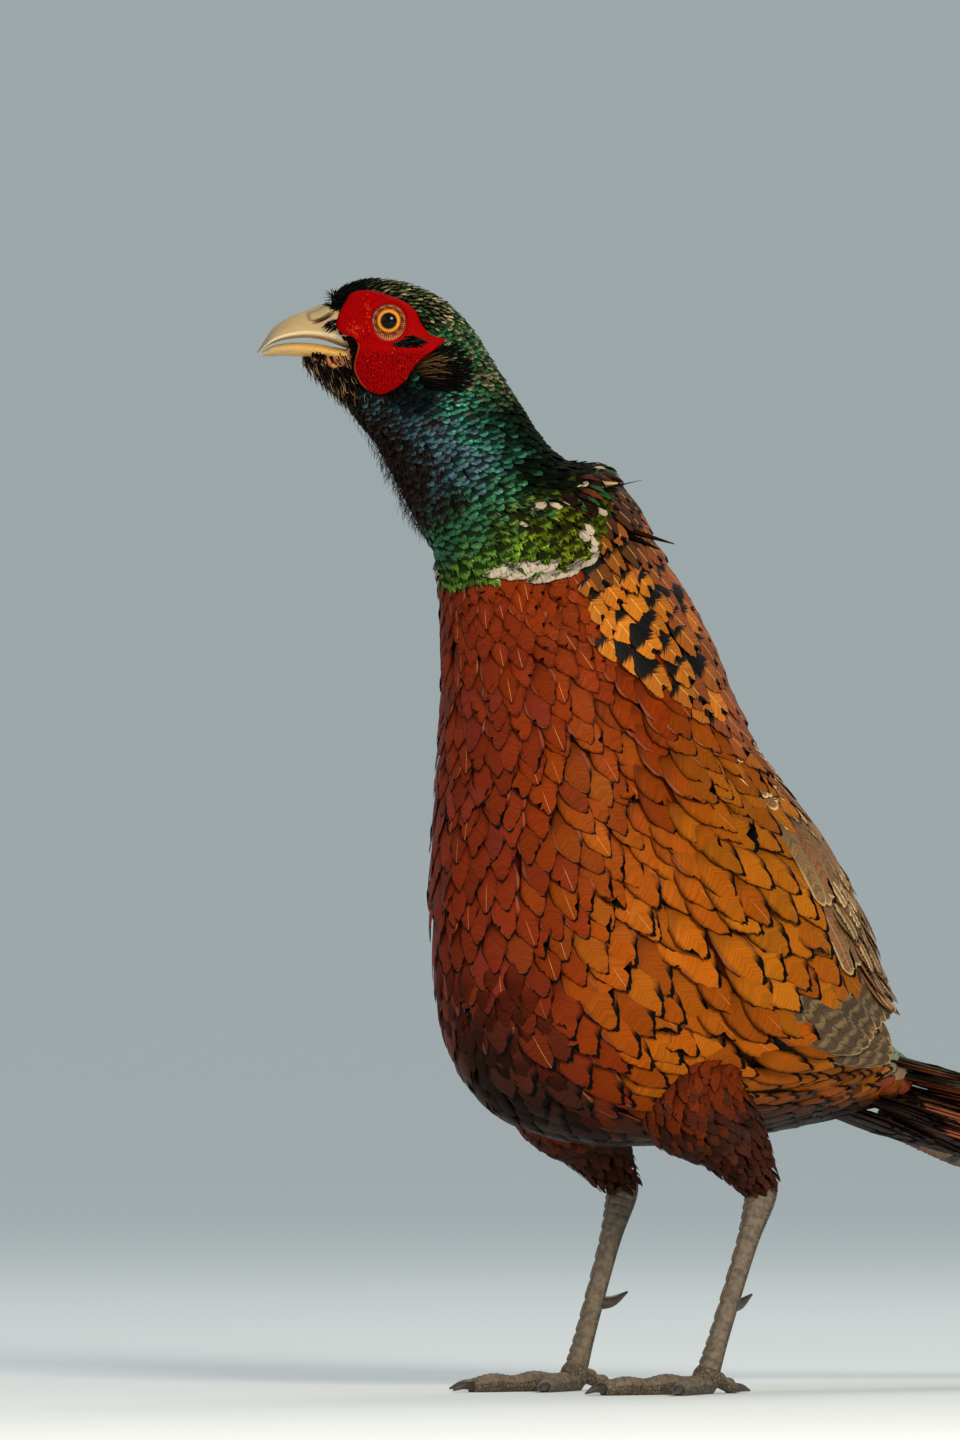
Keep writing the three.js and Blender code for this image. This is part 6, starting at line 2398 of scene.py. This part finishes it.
class PHEASANT_OT_neck(bpy.types.Operator):
    """Glossy scales of the neck, and the broken white collar"""

    bl_idname = "pheasant.neck"
    bl_label = "Neck and collar"

    def execute(self, context):
        build_neck()
        build_collar()
        build_loose_feathers()
        return {"FINISHED"}


class PHEASANT_OT_trunk(bpy.types.Operator):
    """Breast, mantle, flank, back and belly feathers"""

    bl_idname = "pheasant.trunk"
    bl_label = "Trunk feathers"

    def execute(self, context):
        for build in (build_breast, build_mantle, build_flanks, build_back, build_belly):
            build()
        return {"FINISHED"}


class PHEASANT_OT_wings(bpy.types.Operator):
    """Folded wings: flight feathers, coverts and scapulars"""

    bl_idname = "pheasant.wings"
    bl_label = "Wings"

    def execute(self, context):
        build_wings()
        return {"FINISHED"}


class PHEASANT_OT_tail(bpy.types.Operator):
    """Long barred tail with its coverts"""

    bl_idname = "pheasant.tail"
    bl_label = "Tail"

    def execute(self, context):
        build_tail()
        build_tail_coverts()
        return {"FINISHED"}


class PHEASANT_OT_legs(bpy.types.Operator):
    """Thigh feathers, scaled shanks and feet, claws and spurs"""

    bl_idname = "pheasant.legs"
    bl_label = "Legs"

    def execute(self, context):
        build_thighs()
        build_legs()
        build_claws()
        return {"FINISHED"}


PIECES = (PHEASANT_OT_stage, PHEASANT_OT_skin, PHEASANT_OT_head_feathers, PHEASANT_OT_face,
          PHEASANT_OT_eyes, PHEASANT_OT_bill, PHEASANT_OT_neck, PHEASANT_OT_trunk,
          PHEASANT_OT_wings, PHEASANT_OT_tail, PHEASANT_OT_legs)


class PHEASANT_PT_panel(bpy.types.Panel):
    """Sizes, colours and the pieces in the order in which they are built"""

    bl_idname = "PHEASANT_PT_panel"
    bl_label = "Common pheasant"
    bl_space_type = "VIEW_3D"
    bl_region_type = "UI"
    bl_category = "Pheasant"

    def draw(self, context):
        for title, settings in (("Sizes", context.scene.pheasant_sizes),
                                ("Colours", context.scene.pheasant_colours)):
            box = self.layout.box()
            box.label(text=title)
            for key in settings.__annotations__:
                box.prop(settings, key)
        for piece in PIECES:
            self.layout.operator(piece.bl_idname)


CLASSES = (PheasantSizes, PheasantColours) + PIECES + (PHEASANT_PT_panel,)


def register():
    for each in CLASSES:
        bpy.utils.register_class(each)
    bpy.types.Scene.pheasant_sizes = PointerProperty(type=PheasantSizes)
    bpy.types.Scene.pheasant_colours = PointerProperty(type=PheasantColours)


def unregister():
    del bpy.types.Scene.pheasant_colours
    del bpy.types.Scene.pheasant_sizes
    for each in reversed(CLASSES):
        bpy.utils.unregister_class(each)


def main():
    register()
    for piece in PIECES:
        group, name = piece.bl_idname.split(".")
        getattr(getattr(bpy.ops, group), name)()


if __name__ == "__main__":
    main()
